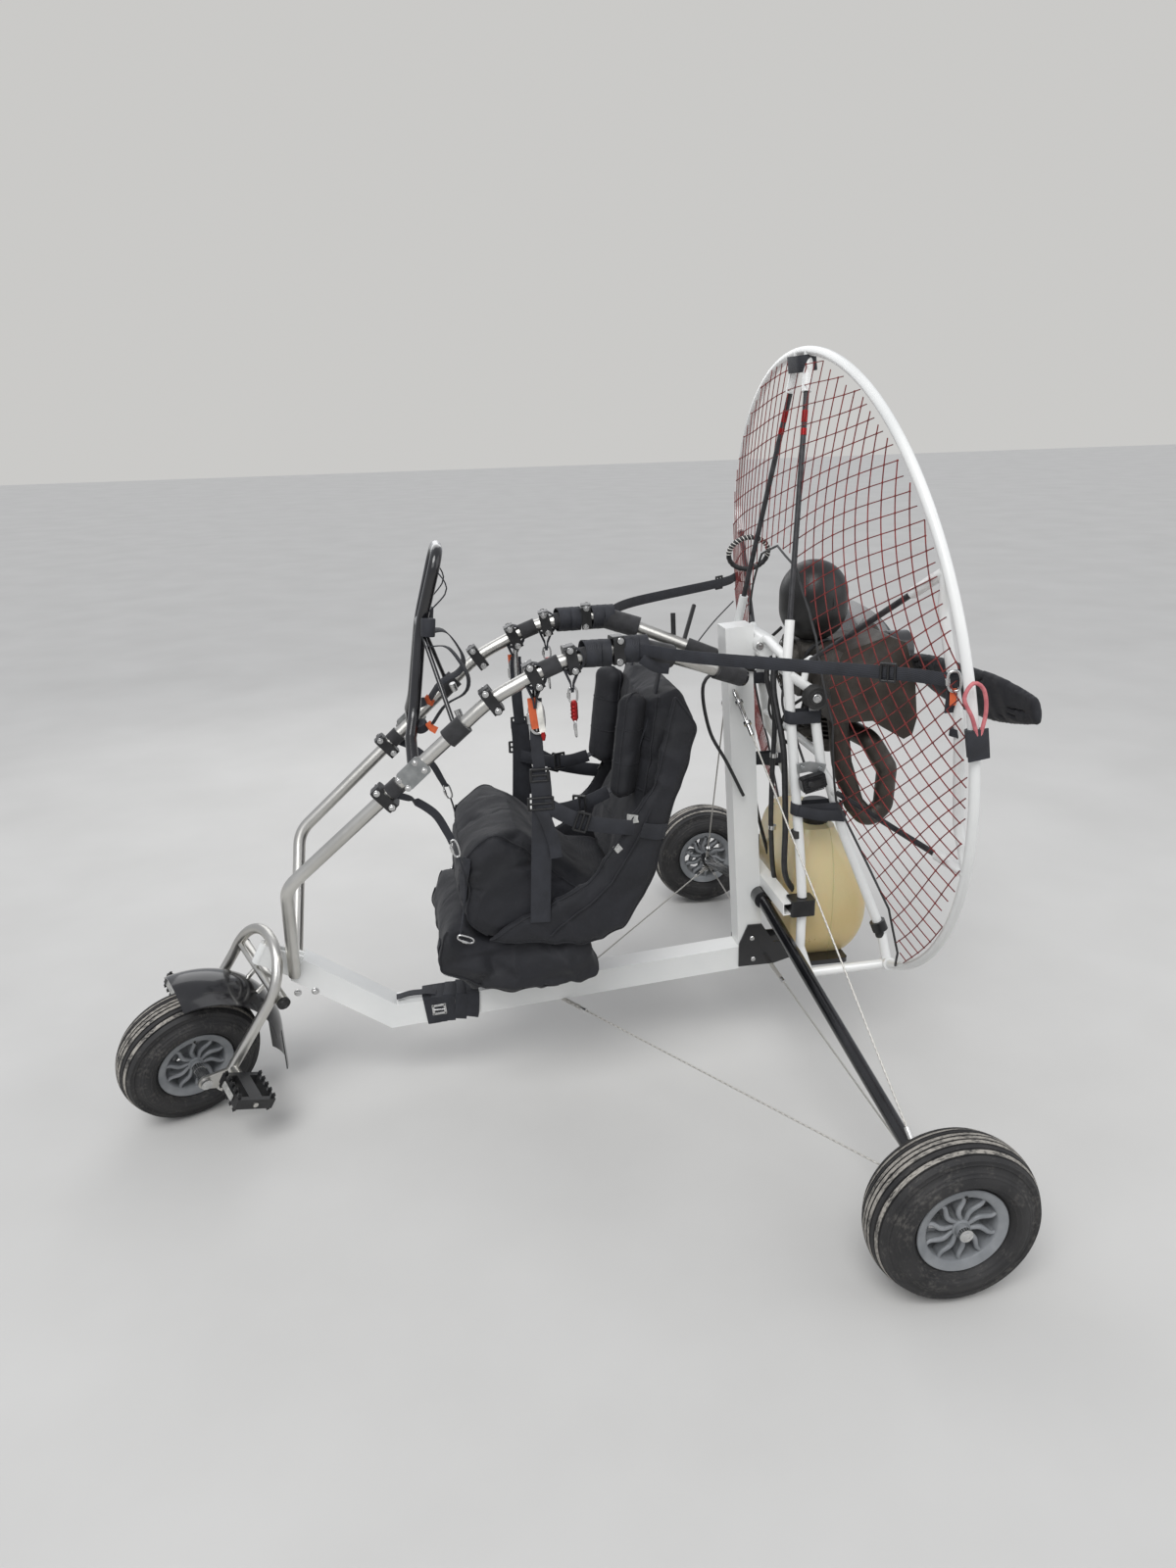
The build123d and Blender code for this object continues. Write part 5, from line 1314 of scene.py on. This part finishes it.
# Wheels: hub caps, bolts and valve stems
for wheel in WHEELS:
    centre, axle, out, _ = wheel_axes(wheel)
    bm = bmesh.new()
    if wheel != "front":
        for way in (axle, -axle):
            seat = centre + way * 0.0545
            bar(bm, seat, seat + way * 0.002, 0.0125, 28)
            tube(bm, [seat, seat + way * 0.0065, seat + way * 0.0075], [0.0095, 0.0095, 0.0080], 6)
    stem = centre + out * 0.072 + axle * 0.030
    line = [stem, stem + axle * 0.012 + out * 0.001, stem + axle * 0.020 + out * 0.001]
    tube(bm, line, [0.0032, 0.0032, 0.0026], 10, True, 1)
    piece(f"wheel_bolts_{wheel}", bm, "links", "links", "rubber", body=f"{wheel}_wheel")

# Tank: moulding seam and ribbed cap edge
bm = bmesh.new()
tank_middle = middle_of("fuel_tank")
tank_tree = tree_of(nodes["fuel_tank"].data)
seam_line = []
for a in angles(120, True):
    way = Vector((sin(a) * 0.02, cos(a), sin(a)))
    hit, normal, _, _ = tank_tree.ray_cast(tank_middle + way * 0.6, -way)
    if hit:
        seam_line.append(hit + normal * 0.0002)
tube(bm, seam_line, 0.0016, 6, False)
piece("tank_seam", bm, "tank")
bm = bmesh.new()
cap_low, cap_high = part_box("tank_cap")
cap_x, cap_y, _ = middle_of("tank_cap")
cap_r = (cap_high[0] - cap_low[0]) / 2
for a in angles(36):
    foot = Vector((cap_x + cap_r * cos(a), cap_y + cap_r * sin(a), cap_low[2] + 0.008))
    bar(bm, foot, foot + UP * 0.032, 0.0013, 6)
ring(bm, Vector((cap_x, cap_y, cap_high[2] - 0.003)), UP, cap_r - 0.004, 0.0016, 36, 6)
piece("cap_ribs", bm, "black_plastic")

# Engine: case bolts, leads, starter's grille and airbox's seam
LEADS = [
    # radius and step, then places as ahead, port, up
    (0.0038, 0.008, (-10, -20, 812), (20, -24, 800), (46, -10, 840), (40, 30, 900), (10, 66, 940)),
    (0.0042, 0.01, (30, 60, 1010), (10, 74, 1050), (-30, 60, 1066), (-60, 40, 1050)),
    (0.0038, 0.01, (40, -40, 1080), (60, -70, 1040), (40, -90, 980), (10, -80, 900)),
]
crank = Vector((AXLE_X, 0, joints["propeller_spin"]["pos_m"][2] - 0.02))
bm = bmesh.new()
for a in angles(10):
    bolt(bm, crank + Vector((0.046, 0.052 * cos(a), 0.052 * sin(a))), FORWARD, 0.0035, 0.003, 1)
for radius, step, *route in LEADS:
    tube(bm, bent(path(1, *route), step), radius, 8)
tube(bm, bent([at(-10, -20, 826), at(-10, -20, 806)]), 0.0085, 14)
piece("engine_leads", bm, "engine", "cable", "links")
bm = bmesh.new()
for a in angles(20):
    way = Vector((0, cos(a), sin(a)))
    bar(bm, crank + FORWARD * 0.0475 + way * 0.014, crank + FORWARD * 0.0475 + way * 0.044, 0.0013, 6)
ring(bm, crank + FORWARD * 0.0480, FORWARD, 0.046, 0.0022, 48, 8)
ring(bm, crank + FORWARD * 0.0480, FORWARD, 0.012, 0.0016, 32, 8)
piece("starter_grille", bm, "engine")
bm = bmesh.new()
air_middle = at(-10, 28, 1152)
for lean in (0.0, 0.05):
    ring(bm, air_middle, Vector((1, 0.25, lean)), 0.0776, 0.0012, 60, 6)
for k in range(4):
    a = pi / 4 + pi / 2 * k
    way = Vector((0, cos(a), sin(a)))
    block(bm, air_middle + way * 0.079, (FORWARD, way.cross(FORWARD), way), (0.022, 0.010, 0.003))
piece("airbox_seam", bm, "airbox")


# Stage and light
FLOOR_HALF = 30
LAMPS = [
    # name, place, size, watts
    ("key", (1.2, 2.6, 3.4), 2.6, 34),
    ("fill", (-2.8, 1.6, 2.2), 3.0, 20),
    ("back", (0.2, -2.8, 2.8), 3.0, 34),
]
SKY_WAY = Vector((-0.35, -0.62, -1.0))
AIM = Vector((0, 0, 0.7))


def lamp(name, kind, way, place=(0, 0, 0)):
    """Adds a lamp that shines along a way."""
    data = bpy.data.lights.new(name, kind)
    obj = bpy.data.objects.new(name, data)
    obj.location = place
    obj.rotation_euler = way.to_track_quat("-Z", "Y").to_euler()
    scene.collection.objects.link(obj)
    return data


floor_mesh = bpy.data.meshes.new("floor")
corners = [(x * FLOOR_HALF, y * FLOOR_HALF, 0) for x, y in ((-1, -1), (1, -1), (1, 1), (-1, 1))]
floor_mesh.from_pydata(corners, [], [(0, 1, 2, 3)])
floor = bpy.data.objects.new("floor", floor_mesh)
scene.collection.objects.link(floor)
n = Nodes("floor_paint")
n.set(Base_Color=n.ramp(n.noise(2), (0.3, (0.52, 0.515, 0.50)), (0.7, (0.56, 0.555, 0.54))), Roughness=0.8)
floor_mesh.materials.append(n.material)
world = bpy.data.worlds.new("world")
scene.world = world
world.use_nodes = True
tree = world.node_tree
background = tree.nodes["Background"]
backdrop = tree.nodes.new("ShaderNodeBackground")
for node, colour, strength in (
    (background, (0.93, 0.95, 1.0, 1), 0.55), (backdrop, (0.66, 0.655, 0.64, 1), 0.9),
):
    node.inputs["Color"].default_value = colour
    node.inputs["Strength"].default_value = strength
ray = tree.nodes.new("ShaderNodeLightPath")
mix = tree.nodes.new("ShaderNodeMixShader")
for source, target in (
    (ray.outputs["Is Camera Ray"], mix.inputs[0]), (background.outputs[0], mix.inputs[1]),
    (backdrop.outputs[0], mix.inputs[2]), (mix.outputs[0], tree.nodes["World Output"].inputs["Surface"]),
):
    tree.links.new(source, target)
for name, place, side, watts in LAMPS:
    data = lamp(name, "AREA", AIM - Vector(place), place)
    data.size = side
    data.energy = watts
sky = lamp("sky", "SUN", SKY_WAY)
sky.energy = 1.5
sky.angle = 0.6
